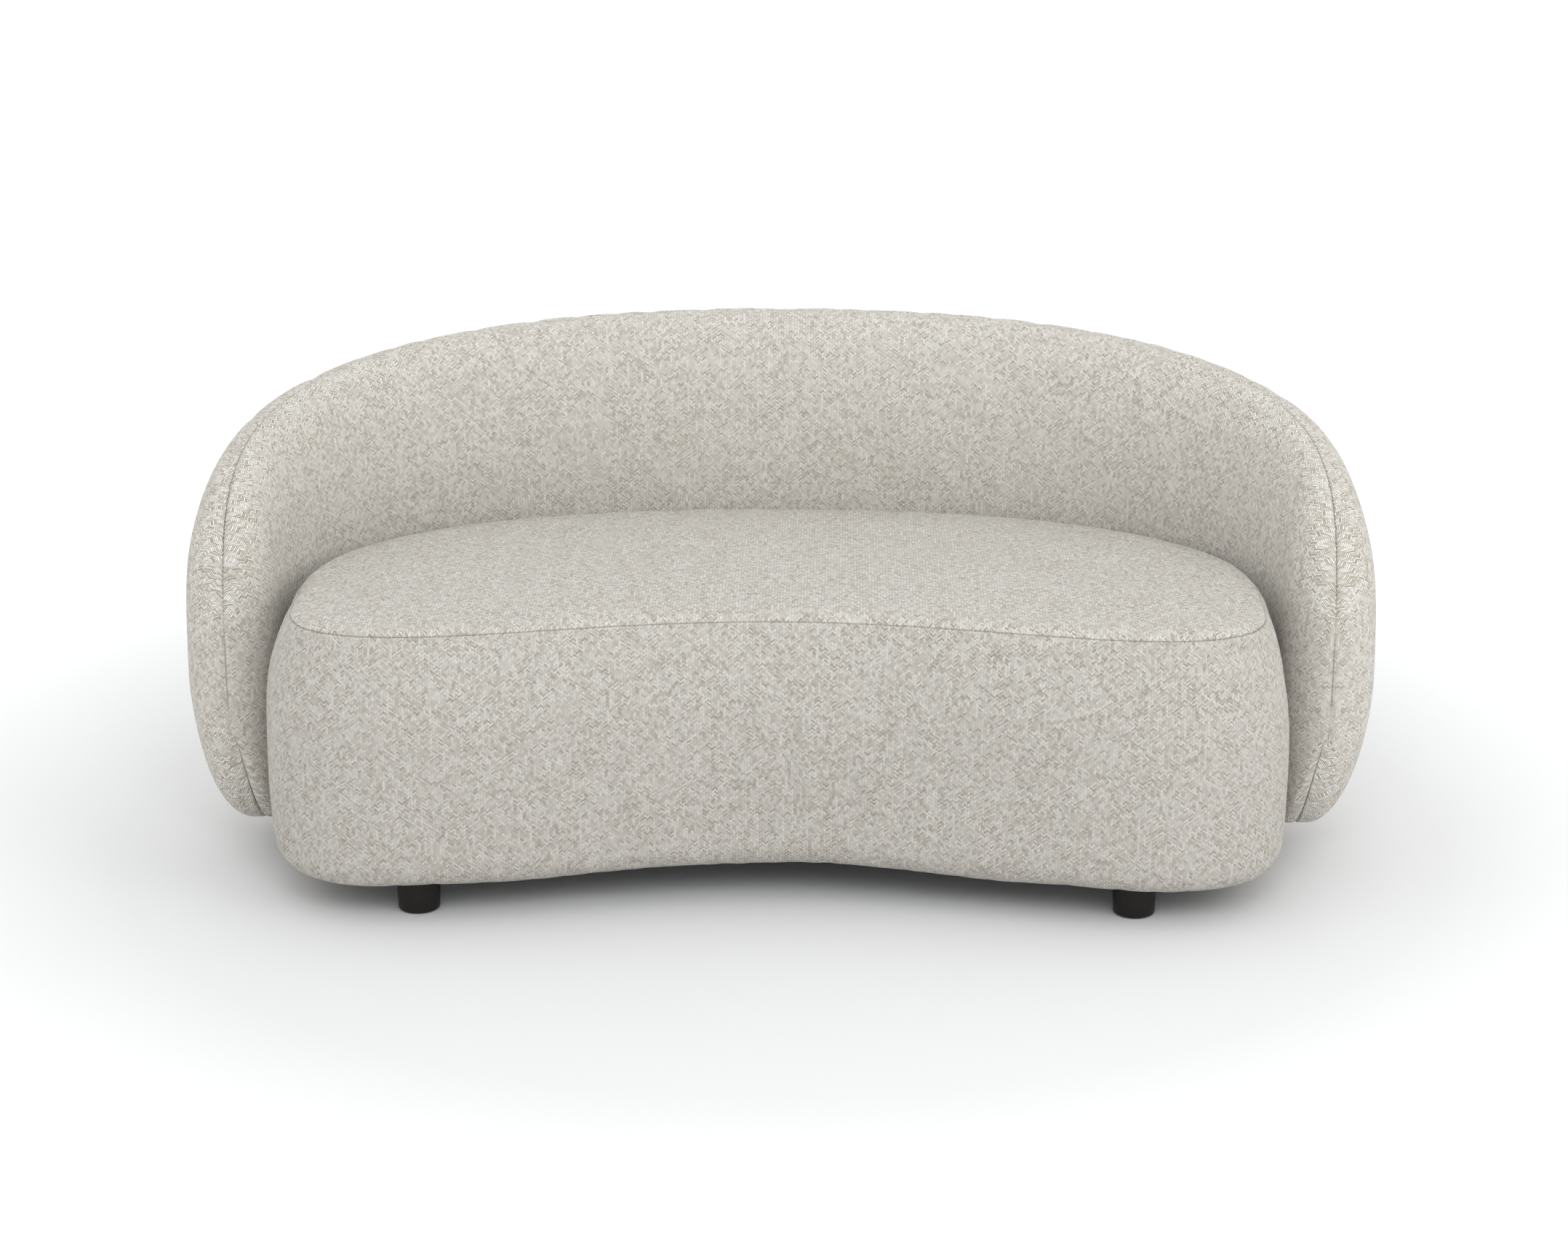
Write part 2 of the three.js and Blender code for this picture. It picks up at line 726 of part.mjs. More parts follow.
// Where the inner or outer side of a section lies at one height
function sideAtHeight(section, z, inward) {
  const up = clamp((z - section.middle) / section.halfHeight, -1, 1);
  const power = up >= 0 ? upperFullness : lowerFullness;
  const share = (1 - Math.abs(up) ** power) ** (1 / power);
  if (up >= 0) {
    const middle = section.centre + section.lean * up ** leanPower;
    return inward ? middle - section.inner * share : middle + section.outer * share;
  }
  if (inward) return section.flatInner + (section.centre - section.inner - section.flatInner) * share;
  return section.flatOuter + (section.centre + section.outer - section.flatOuter) * share;
}

function backPlace(reach, across, z) {
  const point = path.pointAt(reach);
  const out = path.outwardAt(reach);
  return new THREE.Vector3(point.x + out.x * across, point.y + out.y * across, z);
}

// Reaches of the stations along the back. They crowd at the arm tips, where the arm is rounded, and
// each rib stands on one of the others.
const tipShares = [0, 0.05, 0.17, 0.36, 0.65];
const noseEnd = frameStart - 2 * fit;
const firstRib = frameStart + ribThickness / 2;
const noseReaches = [...tipShares.map((share) => share * noseEnd), noseEnd, frameStart - fit];

function backStations() {
  const steps = (ribCount - 1) * stationsPerBay;
  const bays = spreadReaches(path, firstRib, path.length - firstRib, steps);
  return [...noseReaches, ...bays, ...noseReaches.map((reach) => path.length - reach).reverse()];
}

const stations = backStations();

function tipDistance(reach) {
  return Math.min(reach, path.length - reach);
}

// In the nose of each arm a deeper layer starts further back, so its stations are moved there
function layerReach(reach, layer) {
  const tip = tipDistance(reach);
  if (tip >= noseEnd) return reach;
  const moved = lerp(layer.tip, noseEnd, tip / noseEnd);
  return reach < halfPath ? moved : path.length - moved;
}

// The outer and inner cloths of the back meet in a seam over the crest and down each arm tip
const innerTurns = [90, 110, 130, 155, 180, 215, 245, 270];
const outerTurns = innerTurns.map((turn) => 180 - turn);

function layerArc(reach, layer, turns, shift) {
  const section = sectionAt(tipDistance(reach), layer);
  const arc = turns.map((turn) => {
    const [across, z] = sectionPoint(section, turn);
    return backPlace(reach, across + shift, z);
  });
  const hem = backPlace(reach, section.hem + shift, section.floor);
  return { arc, hem };
}

function backCover(turns, side) {
  const shift = (side * seamGap) / 2;
  const rings = stations.map((reach) => {
    const outer = layerArc(reach, outerSkin, turns, shift);
    const inner = layerArc(layerReach(reach, clothLayer), clothLayer, turns, shift);
    return [...outer.arc, outer.hem, inner.hem, ...inner.arc.reverse()];
  });
  return surfaceThrough(rings, false);
}

// Places of the top rail at one station
function topRailAt(reach) {
  const section = sectionAt(Math.max(tipDistance(reach), frameStart), frameLayer);
  const centre = section.centre + section.lean;
  return {
    inner: centre - topRailWidth / 2,
    outer: centre + topRailWidth / 2,
    floor: section.crest - railThickness,
    top: section.crest,
  };
}

// The inner or outer side of the ribs at one station, from the bottom rail up to the top rail
const frameLevelShares = [0, 0.1, 0.32, 0.62, 1];

function frameSide(reach, inward) {
  const section = sectionAt(Math.max(tipDistance(reach), frameStart), frameLayer);
  return frameLevelShares.map((share) => {
    const z = lerp(backRailTop + fit, topRailAt(reach).floor, share);
    return [sideAtHeight(section, z, inward), z];
  });
}

// The face of the foam that lies against the frame, from the crest down to the hem. In the nose of the
// arm, in front of the frame, the two foams meet on a middle line instead.
function foamBackFace(reach, side) {
  const inward = side < 0;
  const own = sectionAt(tipDistance(reach), foamLayer);
  const crest = own.centre + own.lean;
  const rail = topRailAt(reach);
  const beside = (inward ? rail.inner : rail.outer) + side * clothFit;
  const levels = frameSide(reach, inward).reverse().map(([across, z]) => [across + side * panelStack, z]);
  const underRail = side * (levels[0][0] - beside) < 0;
  if (underRail) levels[0][1] -= fit;
  const wall = (inward ? own.flatInner : own.flatOuter) - (side * railSideMargin) / 2;
  const face = [
    [crest + (side * seamGap) / 2, rail.top + clothFit],
    [beside, rail.top + clothFit],
    [beside, levels[0][1]],
    ...levels,
    [wall, levels.at(-1)[1] - (inward ? 0 : fit)],
    [wall, own.floor],
  ];
  if (reachesFrame(reach)) return face.map(([across, z]) => backPlace(reach, across, z));
  return face.map(([, z]) => {
    const level = clamp(z, own.floor, own.crest);
    const share = (level - own.floor) / Math.max(own.crest - own.floor, coincidence);
    return backPlace(reach, lerp(own.hem, crest, share) + (side * seamGap) / 2, level);
  });
}

function reachesFrame(reach) {
  return tipDistance(reach) > noseEnd + fit / 2;
}

function backFoam(turns, side) {
  const shift = (side * seamGap) / 2;
  const rings = stations.map((station) => {
    const reach = layerReach(station, foamLayer);
    const { arc, hem } = layerArc(reach, foamLayer, turns, shift);
    const last = reachesFrame(reach) ? arc.at(-1) : hem;
    return [...arc, last, ...foamBackFace(reach, side).reverse()];
  });
  return surfaceThrough(rings, false);
}

// A band along the back between two end reaches, from its corner places at each station
function backBand(start, cornersAt) {
  const inside = stations.filter((reach) => tipDistance(reach) > start + fit);
  const rings = [start, ...inside, path.length - start].map((reach) => {
    return cornersAt(reach).map(([across, z]) => backPlace(reach, across, z));
  });
  return surfaceThrough(rings, false);
}

function rectangle(inner, outer, low, high) {
  return [[inner, low], [outer, low], [outer, high], [inner, high]];
}

// A bent panel on one side of the ribs, from one of their levels up to the top rail
function panelCorners(reach, side, firstLevel) {
  const levels = frameSide(reach, side < 0).slice(firstLevel);
  const near = levels.map(([across, z]) => [across + side * fit, z]);
  near.at(-1)[1] -= fit;
  const far = near.map(([across, z]) => [across + side * panelThickness, z]);
  return [...near, ...far.reverse()];
}

// Position and turn of a piece that stands square to the path
function squareTo(curvePoint, out) {
  const normal = new THREE.Vector3(out.x, out.y, 0);
  const up = new THREE.Vector3(0, 0, 1);
  const turn = new THREE.Matrix4().makeBasis(normal, up, normal.clone().cross(up));
  const position = new THREE.Vector3(curvePoint.x, curvePoint.y, 0);
  return { position, quaternion: new THREE.Quaternion().setFromRotationMatrix(turn) };
}

function extrudedAcross(outline, width) {
  const shape = new THREE.Shape(outline.map(([across, z]) => new THREE.Vector2(across, z)));
  const geometry = new THREE.ExtrudeGeometry(shape, { depth: width, bevelEnabled: false });
  return geometry.translate(0, 0, -width / 2);
}

// Reads a line of places, ordered by height, at one height
function acrossAt(line, z) {
  const above = Math.max(1, line.findIndex(([, height]) => height >= z));
  const [acrossLow, low] = line[above - 1];
  const [acrossHigh, high] = line[above];
  return lerp(acrossLow, acrossHigh, (z - low) / (high - low));
}

// A rib fills the frame between the panels. The panels bend past it in straight stretches from station
// to station, so each edge of the rib is cut back to clear them at both of its faces.
function rib(index) {
  const reach = stations[index];
  const origin = backPlace(reach, 0, 0);
  const out = path.outwardAt(reach);
  const shareTo = (step) => ribThickness / 2 / Math.abs(stations[index + step] - reach);
  const faceLine = (step, inward) => {
    const there = frameSide(stations[index + step], inward);
    return frameSide(reach, inward).map(([across, z], level) => {
      const goal = backPlace(stations[index + step], ...there[level]);
      const place = backPlace(reach, across, z).lerp(goal, shareTo(step)).sub(origin);
      return [place.x * out.x + place.y * out.y, place.z];
    });
  };
  const railFloors = [-1, 1].map((step) => {
    return lerp(topRailAt(reach).floor, topRailAt(stations[index + step]).floor, shareTo(step));
  });
  const ceiling = Math.min(...railFloors) - fit;
  const heights = frameSide(reach, true).map(([, z]) => Math.min(z, ceiling));
  const edge = (inward) => {
    const lines = [frameSide(reach, inward), faceLine(-1, inward), faceLine(1, inward)];
    const choose = inward ? Math.max : Math.min;
    return heights.map((z) => [choose(...lines.map((line) => acrossAt(line, z))), z]);
  };
  return extrudedAcross([...edge(false), ...edge(true).reverse()], ribThickness);
}

function backFrame() {
  const railInner = undersideFlatInner + railSideMargin;
  const railOuter = undersideFlatOuter - railSideMargin;
  const bottomCorners = rectangle(railInner, railOuter, backRailFloor, backRailTop);
  add('back_bottom_rail', backBand(frameStart, () => bottomCorners), 'plywood');
  // The top rail has a corner more, in the middle of its top, where the two foams meet
  const topRail = backBand(frameStart, (reach) => {
    const { inner, outer, floor, top } = topRailAt(reach);
    return [[inner, floor], [outer, floor], [outer, top], [(inner + outer) / 2, top], [inner, top]];
  });
  add('back_top_rail', topRail, 'plywood');

  for (let i = 0; i < ribCount; i++) {
    const index = noseReaches.length + i * stationsPerBay;
    const reach = stations[index];
    add(`back_rib_${i + 1}`, rib(index), 'plywood', squareTo(path.pointAt(reach), path.outwardAt(reach)));
  }

  add('back_inner_panel', backBand(frameStart, (reach) => panelCorners(reach, -1, 0)), 'board');
  add('back_outer_panel', backBand(frameStart, (reach) => panelCorners(reach, 1, 1)), 'board');

  const dustHigh = backUnderside - fit;
  const dustCorners = rectangle(railInner, railOuter, dustHigh - dustClothThickness, dustHigh);
  add('back_dust_cloth', backBand(armUnderRadius + fit, () => dustCorners), 'dustCloth');
}

function joiningPlates() {
  const seatLevel = dustFloor - fit;
  const backLevel = backUnderside - 2 * fit - dustClothThickness;
  const top = [
    [-plateSeatReach, seatLevel],
    [-plateRampStart, seatLevel],
    [plateRampEnd, backLevel],
    [plateBackReach, backLevel],
  ];
  const bottom = top.map(([across, z]) => [across, z - plateThickness]).reverse();
  const places = [...platePlaceShares, ...platePlaceShares.map((share) => 1 - share).reverse()];
  places.forEach((share, i) => {
    const reach = share * path.length;
    const plate = extrudedAcross([...top, ...bottom], plateWidth);
    add(`joining_plate_${i + 1}`, plate, 'steel', squareTo(path.pointAt(reach), path.outwardAt(reach)));
  });
}

const footEdgeAngles = [0, 45, 90].map(degToRad);

// A turned piece, from a profile of radii and heights that starts and ends on the axis
function turned(profile) {
  const outline = profile.map(([radius, z]) => new THREE.Vector2(radius, z));
  const lathe = new THREE.LatheGeometry(outline, turnedSides);
  lathe.rotateX(Math.PI / 2);
  lathe.deleteAttribute('normal');
  lathe.deleteAttribute('uv');
  return closedGeometry(pointsOf(lathe), trianglesOf(lathe));
}

function pointsOf(geometry) {
  const at = geometry.getAttribute('position');
  return [...Array(at.count).keys()].map((i) => new THREE.Vector3().fromBufferAttribute(at, i));
}

function trianglesOf(geometry) {
  const index = geometry.getIndex().array;
  return [...Array(index.length / 3).keys()].map((i) => [...index.slice(3 * i, 3 * i + 3)]);
}

function feet() {
  const footTop = dustFloor - fit;
  const recessRadius = glideRadius + boltClearance;
  const recessTop = glideThickness + fit;
  const edge = footEdgeAngles.map((angle) => [
    footBottomRadius - footEdgeRadius * (1 - Math.sin(angle)),
    glideProudness + footEdgeRadius * (1 - Math.cos(angle)),
  ]);
  const boreRadius = boltRadius + boltClearance;
  const boreFloor = footTop - boltDepthInFoot - fit;
  const footProfile = [
    [0, recessTop],
    [recessRadius, recessTop],
    [recessRadius, glideProudness],
    ...edge,
    [footTopRadius, footTop],
    [boreRadius, footTop],
    [boreRadius, boreFloor],
    [0, boreFloor],
  ];
  const boltHeadFloor = ringTop + fit;
  const boltProfile = [
    [0, footTop - boltDepthInFoot],
    [boltRadius, footTop - boltDepthInFoot],
    [boltRadius, boltHeadFloor],
    [boltHeadRadius, boltHeadFloor],
    [boltHeadRadius, boltHeadFloor + boltHeadHeight],
    [0, boltHeadFloor + boltHeadHeight],
  ];
  const glideProfile = [[0, 0], [glideRadius, 0], [glideRadius, glideThickness], [0, glideThickness]];
  for (const { name, x, y } of footPlaces) {
    add(`foot_${name}`, turned(footProfile).translate(x, y, 0), 'blackFoot');
    add(`foot_bolt_${name}`, turned(boltProfile).translate(x, y, 0), 'steel');
    add(`foot_glide_${name}`, turned(glideProfile).translate(x, y, 0), 'felt');
  }
}

seatCovers();
seatPadding();
seatFrame();
webbing();
add('back_inner_cover', backCover(innerTurns, -1), 'cloth');
add('back_outer_cover', backCover(outerTurns, 1), 'cloth');
add('back_inner_foam', backFoam(innerTurns, -1), 'foam');
add('back_outer_foam', backFoam(outerTurns, 1), 'foam');
backFrame();
joiningPlates();
feet();

// Centre the sofa front to back over the origin
const extent = new THREE.Box3().setFromObject(sofa);
sofa.position.y = -(extent.min.y + extent.max.y) / 2;

export default sofa;
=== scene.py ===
# %% [markdown]
# # A curved sofa in one flecked cloth
# The sofa is a bean-shaped seat block inside a padded crescent back. This lesson dresses a finished
# construction: the frame, the webbing, the plates and the feet come from it at their real size, and the
# upholstery is built round them. All lengths are metres, +X is to the right seen from the front, the
# front faces -Y and +Z is up.

# %% Load the fixed frame
import math

import bpy
import numpy as np
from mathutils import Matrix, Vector, kdtree


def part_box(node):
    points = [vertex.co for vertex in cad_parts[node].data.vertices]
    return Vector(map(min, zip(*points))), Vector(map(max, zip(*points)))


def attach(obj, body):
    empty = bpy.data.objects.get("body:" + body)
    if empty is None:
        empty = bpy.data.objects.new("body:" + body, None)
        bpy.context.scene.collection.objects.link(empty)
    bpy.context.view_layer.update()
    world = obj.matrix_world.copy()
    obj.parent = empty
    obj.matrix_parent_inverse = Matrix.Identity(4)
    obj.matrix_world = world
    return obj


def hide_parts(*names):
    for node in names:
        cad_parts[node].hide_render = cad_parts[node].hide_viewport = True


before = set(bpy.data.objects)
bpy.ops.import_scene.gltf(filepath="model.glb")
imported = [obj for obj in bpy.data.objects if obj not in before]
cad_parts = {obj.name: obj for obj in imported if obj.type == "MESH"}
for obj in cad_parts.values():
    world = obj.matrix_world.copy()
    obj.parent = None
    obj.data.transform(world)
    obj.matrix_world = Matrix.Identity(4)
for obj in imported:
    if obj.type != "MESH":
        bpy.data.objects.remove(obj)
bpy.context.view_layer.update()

# %% [markdown]
# ## The camera
# The camera comes first, because it decides which details show. The photograph was taken with a long
# lens from a little above the sofa. Its place, its tilt and its slight turn were found by fitting the
# outline of the sofa, so the render can be laid over the photograph.

# %% Camera
PHOTO_WIDTH = 2156
SENSOR_WIDTH = 36.0
FOCAL_PIXELS = 4400
CAMERA_PLACE = (0.0899, -4.6389, 1.7210)
CAMERA_DOWN = math.radians(16.947)
CAMERA_LEFT = math.radians(1.0527)


def add_camera():
    lens = bpy.data.cameras.new("camera")
    lens.sensor_width = SENSOR_WIDTH
    lens.lens = FOCAL_PIXELS / PHOTO_WIDTH * SENSOR_WIDTH
    camera = bpy.data.objects.new("camera", lens)
    camera.location = CAMERA_PLACE
    camera.rotation_euler = (math.pi / 2 - CAMERA_DOWN, 0, CAMERA_LEFT)
    bpy.context.scene.collection.objects.link(camera)
    bpy.context.scene.camera = camera
    return lens.lens


print("lens", round(add_camera(), 1), "mm")

# %% [markdown]
# ## Arithmetic on node sockets
# A weave is a formula, and a formula in nodes is hard to read. So one small class wraps a socket and
# gives it the usual operators: each adds the Math node it stands for. Every other node comes from one
# method, which sets the node's settings before its sockets.

# %% A socket with arithmetic
class Wire:
    """One output of a node tree, on which arithmetic adds Math nodes."""

    def __init__(self, tree, socket=None):
        self.tree = tree
        self.socket = socket

    def node(self, kind, settings=None, inputs=None, output=0):
        made = self.tree.nodes.new(kind)
        for name, value in (settings or {}).items():
            if name == "stops":
                set_stops(made.color_ramp, value)
            else:
                setattr(made, name, value)
        for name, value in (inputs or {}).items():
            if isinstance(value, Wire):
                self.tree.links.new(value.socket, made.inputs[name])
            else:
                made.inputs[name].default_value = value
        return Wire(self.tree, made.outputs[output] if len(made.outputs) else None)

    def out(self, name):
        return Wire(self.tree, self.socket.node.outputs[name])

    def math(self, operation, *others):
        inputs = dict(enumerate([self, *others]))
        return self.node("ShaderNodeMath", {"operation": operation}, inputs)


def operator(operation, turned):
    """A method that adds a Math node. In its turned form the other value comes first."""
    if turned:
        return lambda wire, other: wire.node("ShaderNodeMath", {"operation": operation}, {0: other, 1: wire})
    return lambda wire, other: wire.math(operation, other)


for word, operation in {"add": "ADD", "sub": "SUBTRACT", "mul": "MULTIPLY", "truediv": "DIVIDE",
                        "pow": "POWER"}.items():
    setattr(Wire, f"__{word}__", operator(operation, False))
    setattr(Wire, f"__r{word}__", operator(operation, True))


def set_stops(ramp, stops):
    """Gives a colour ramp its stops, each a place and a colour, in place of the two it comes with."""
    while len(ramp.elements) > 1:
        ramp.elements.remove(ramp.elements[-1])
    ramp.elements[0].position, ramp.elements[0].color = stops[0]
    for place, colour in stops[1:]:
        ramp.elements.new(place).color = colour


# %% Helpers for colours and surfaces
def colour(red, green, blue):
    """A colour as seen on a screen, 0 to 255, in the linear values that shaders use."""
    shares = [channel / 255 for channel in (red, green, blue)]
    linear = [c / 12.92 if c <= 0.04045 else ((c + 0.055) / 1.055) ** 2.4 for c in shares]
    return (*linear, 1.0)


def new_material(name):
    """An empty material with its main shader, and a wire to start formulas from."""
    material = bpy.data.materials.new(name)
    material.use_nodes = True
    shader = next(n for n in material.node_tree.nodes if n.type == "BSDF_PRINCIPLED")
    return material, shader, Wire(material.node_tree)


def feed(shader, name, wire):
    shader.id_data.links.new(wire.socket, shader.inputs[name])


def blend(first, second, share, mode="MIX"):
    """Mixes two colours, each a wire or a fixed colour."""
    source = share if isinstance(share, Wire) else first
    inputs = {"Factor": share, 6: first, 7: second}
    settings = {"data_type": "RGBA", "blend_type": mode}
    return source.node("ShaderNodeMix", settings, inputs, output=2)


def grain(start, where, scale, detail=2.0, roughness=0.5):
    """Soft random values from 0 to 1, at so many waves to the metre."""
    inputs = {"Vector": where, "Scale": scale, "Detail": detail, "Roughness": roughness}
    return start.node("ShaderNodeTexNoise", None, inputs)


def raise_surface(shader, height, depth, strength=1.0):
    """Lets a height from 0 to 1 stand out of the surface by a depth in metres."""
    inputs = {"Height": height, "Distance": depth, "Strength": strength}
    feed(shader, "Normal", height.node("ShaderNodeBump", None, inputs))


def grained(name, tones, waves, rough, depth, stretch=None, coat=None):
    """A material whose one grain gives its tone, roughness and height.

    tones: the dark and the pale colour. waves: waves to the metre, octaves and roughness of the grain.
    rough: the least roughness and its span. depth: the height in metres and its strength. stretch: a
    scale that draws the grain out. coat: adds to the tone, given the wire of places and of the grain.
    """
    material, shader, start = new_material(name)
    where = start.node("ShaderNodeTexCoord").out("Object")
    along = where
    if stretch is not None:
        along = start.node("ShaderNodeMapping", None, {"Vector": where, "Scale": stretch})
    fine = grain(start, along, *waves)
    tone = blend(colour(*tones[0]), colour(*tones[1]), fine)
    feed(shader, "Base Color", tone if coat is None else coat(start, where, tone, fine))
    feed(shader, "Roughness", rough[0] + rough[1] * fine)
    raise_surface(shader, fine, *depth)
    return material


# %% [markdown]
# ## The cloth
# The cover is a flecked chenille. Seen close, short soft yarns lie slantwise in narrow columns, and the
# slant changes side from column to column, as in a herringbone. Each yarn has its own tone, from warm
# brown to cream. A picture of a weave would repeat and blur, so the yarns are worked out: a column
# number and a yarn number give each yarn a random tone, and the place within it gives its round height.
# Purely random tones would clump, so every second yarn is also a little lighter.
# The coordinates are metres on the cloth itself, so the weave follows every curve at its true size. The
# seat's panels get darker copies of the same cloth. That is painted shade, a choice made to match the
# brightness in the photograph under these lamps.

# %% Cloth material
YARN_COLUMN = 0.0042
YARN_PITCH = 0.0028
YARN_SLANT = 1.5
CLOTH_DRIFT = 0.0012
CLOTH_STOPS = [
    (0.0, (136, 126, 110)),
    (0.25, (192, 185, 174)),
    (0.5, (217, 213, 205)),
    (0.75, (233, 231, 226)),
    (1.0, (251, 250, 247)),
]
CLOTH_GROOVE_SHADE = (108, 98, 83)
DRIFT_WAVES, FUZZ_WAVES, PATCH_WAVES = 140.0, 1500.0, 9.0


def cloth_material(name, painted_shade_scale):
    """Flecked chenille. Its tones are multiplied by the scale given; below 1 that makes a darker copy as
    painted shade, chosen to match the photograph's brightness.
    """
    material, shader, start = new_material(name)
    flat = start.node("ShaderNodeUVMap", {"uv_map": "cloth"})
    wander = grain(start, flat, DRIFT_WAVES, 1.0).out("Color")
    wander = start.node("ShaderNodeVectorMath", {"operation": "SUBTRACT"}, {0: wander, 1: (0.5, 0.5, 0.5)})
    wander = start.node("ShaderNodeVectorMath", {"operation": "SCALE"}, {0: wander, "Scale": CLOTH_DRIFT})
    place = start.node("ShaderNodeVectorMath", {"operation": "ADD"}, {0: flat, 1: wander})
    axes = start.node("ShaderNodeSeparateXYZ", None, {"Vector": place})
    along, across = axes.out("X") / YARN_COLUMN, axes.out("Y") / YARN_PITCH

    column = along.math("FLOOR")
    in_column = along - column
    side = 1 - 2 * (column / 2).math("FRACT") * 2
    slanted = across + side * in_column * YARN_SLANT
    yarn = slanted.math("FLOOR")
    in_yarn = slanted - yarn
    number = start.node("ShaderNodeCombineXYZ", None, {"X": column, "Y": yarn})
    tone = start.node("ShaderNodeTexWhiteNoise", {"noise_dimensions": "2D"}, {"Vector": number})
    paired = (yarn / 2).math("FRACT") * 2

    roundness = 4 * in_yarn * (1 - in_yarn)
    ends = (4 * in_column * (1 - in_column)) ** 0.5
    fuzz = grain(start, flat, FUZZ_WAVES, 2.0, 0.7)
    height = roundness * (0.45 + 0.55 * ends) + 0.15 * fuzz

    patches = grain(start, flat, PATCH_WAVES, 3.0, 0.6)
    shade = 0.05 + 0.6 * tone + 0.22 * paired + 0.08 * fuzz + 0.05 * patches
    stops = [(stop, colour(*(painted_shade_scale * channel for channel in tint))) for stop, tint in CLOTH_STOPS]
    fleck = start.node("ShaderNodeValToRGB", {"stops": stops}, {"Fac": shade})
    # Painted shade: each yarn darkens towards its edges and ends, so the grooves between yarns are drawn
    # dark.
    hollow = (1 - roundness * (0.6 + 0.4 * ends)) * 0.92
    feed(shader, "Base Color", blend(fleck, colour(*(painted_shade_scale * channel for channel in CLOTH_GROOVE_SHADE)), hollow))
    feed(shader, "Roughness", 0.98 - 0.12 * tone)
    raise_surface(shader, height, 0.0006, 0.6)
    shader.inputs["Specular IOR Level"].default_value = 0.18
    shader.inputs["Sheen Weight"].default_value = 0.12
    shader.inputs["Sheen Roughness"].default_value = 0.45
    return material


CLOTH = cloth_material("flecked_chenille", 1.0)
# Darker copies of the same cloth for the seat's top pad and side pad: painted shade.
CLOTH_PAINTED_SHADE_TOP = cloth_material("flecked_chenille_painted_shade_top", 0.965)
CLOTH_PAINTED_SHADE_SIDE = cloth_material("flecked_chenille_painted_shade_side", 0.935)
print("cloth nodes", len(CLOTH.node_tree.nodes))

# %% [markdown]
# ## Grids of points
# Upholstery is made of panels, and a panel is a grid: one direction runs along the seam and the other
# from seam to seam. Numpy works out whole grids at a time. This cell turns a grid into a mesh with a
# cloth map, on which one unit is one metre of cloth.

# %% From a grid to a mesh
def spread_evenly(points, count):
    """Points at even distances along a line of points, the ends included."""
    steps = np.linalg.norm(np.diff(points, axis=0), axis=1)
    reach = np.concatenate([[0.0], np.cumsum(steps)])
    wanted = np.linspace(0.0, reach[-1], count)
    return np.stack([np.interp(wanted, reach, axis) for axis in points.T], axis=1)


def lengths_along(points):
    """The distance of each point from the first, along a line of points."""
    steps = np.linalg.norm(np.diff(points, axis=0), axis=1)
    return np.concatenate([[0.0], np.cumsum(steps)])


def quads_between(numbers, closed):
    """The four-sided faces of a grid of point numbers, closed in its second direction if asked."""
    if closed:
        numbers = np.concatenate([numbers, numbers[:, :1]], axis=1)
    low, high = numbers[:-1], numbers[1:]
    return np.stack([low[:, :-1], low[:, 1:], high[:, 1:], high[:, :-1]], axis=-1).reshape(-1, 4)


def without_repeats(quads):
    """Lists the faces, leaving out the ones that have shrunk to a line."""
    faces = []
    for quad in quads.tolist():
        kept = [a for a, b in zip(quad, quad[1:] + quad[:1]) if a != b]
        if len(set(kept)) > 2:
            faces.append(kept)
    return faces


def make_object(name, points, faces, flat=None, girth=None):
    """A linked mesh object. flat gives each point its place on the cloth, which may close after a girth."""
    mesh = bpy.data.meshes.new(name)
    mesh.from_pydata(np.asarray(points).tolist(), [], faces)
    if flat is not None:
        sizes = [len(face) for face in faces]
        maps = flat[np.concatenate(faces)]
        if girth is not None:
            starts = np.cumsum([0, *sizes[:-1]])
            far = np.repeat(np.maximum.reduceat(maps[:, 0], starts), sizes)
            maps[:, 0] += np.where(far - maps[:, 0] > girth / 2, girth, 0)
        mesh.uv_layers.new(name="cloth").data.foreach_set("uv", maps.astype(np.float32).ravel())
    thing = bpy.data.objects.new(name, mesh)
    bpy.context.scene.collection.objects.link(thing)
    return thing


def outward(points, faces):
    """The direction that points out of the surface at each point."""
    trial = make_object("trial", points, faces)
    found = np.empty(len(points) * 3)
    trial.data.vertex_normals.foreach_get("vector", found)
    bpy.data.objects.remove(trial)
    return found.reshape(-1, 3)


# %% [markdown]
# ## Padding under tension
# A cover over foam isn't a smooth shell. It is sewn to size along its seams, and the foam pushes it out
# between them. Cloth simulation shows this: the seams are held, the cloth is given a little spare
# length, and air pressure stands for the foam. A soft pull back to the starting shape keeps the sofa at
# its real size, and a cap limits how far any point may go.

# %% Simulated padding
CLOTH_FRAMES = 20
FOAM_HOLD = 0.2
PADDING_CAP = 0.012
CLOTH_SETTINGS = {
    "quality": 3, "mass": 0.4, "tension_stiffness": 25, "compression_stiffness": 25,
    "shear_stiffness": 12, "bending_stiffness": 6.0, "shrink_min": -0.006, "use_pressure": True,
    "uniform_pressure_force": 5.0, "vertex_group_mass": "hold", "pin_stiffness": 1.0,
}


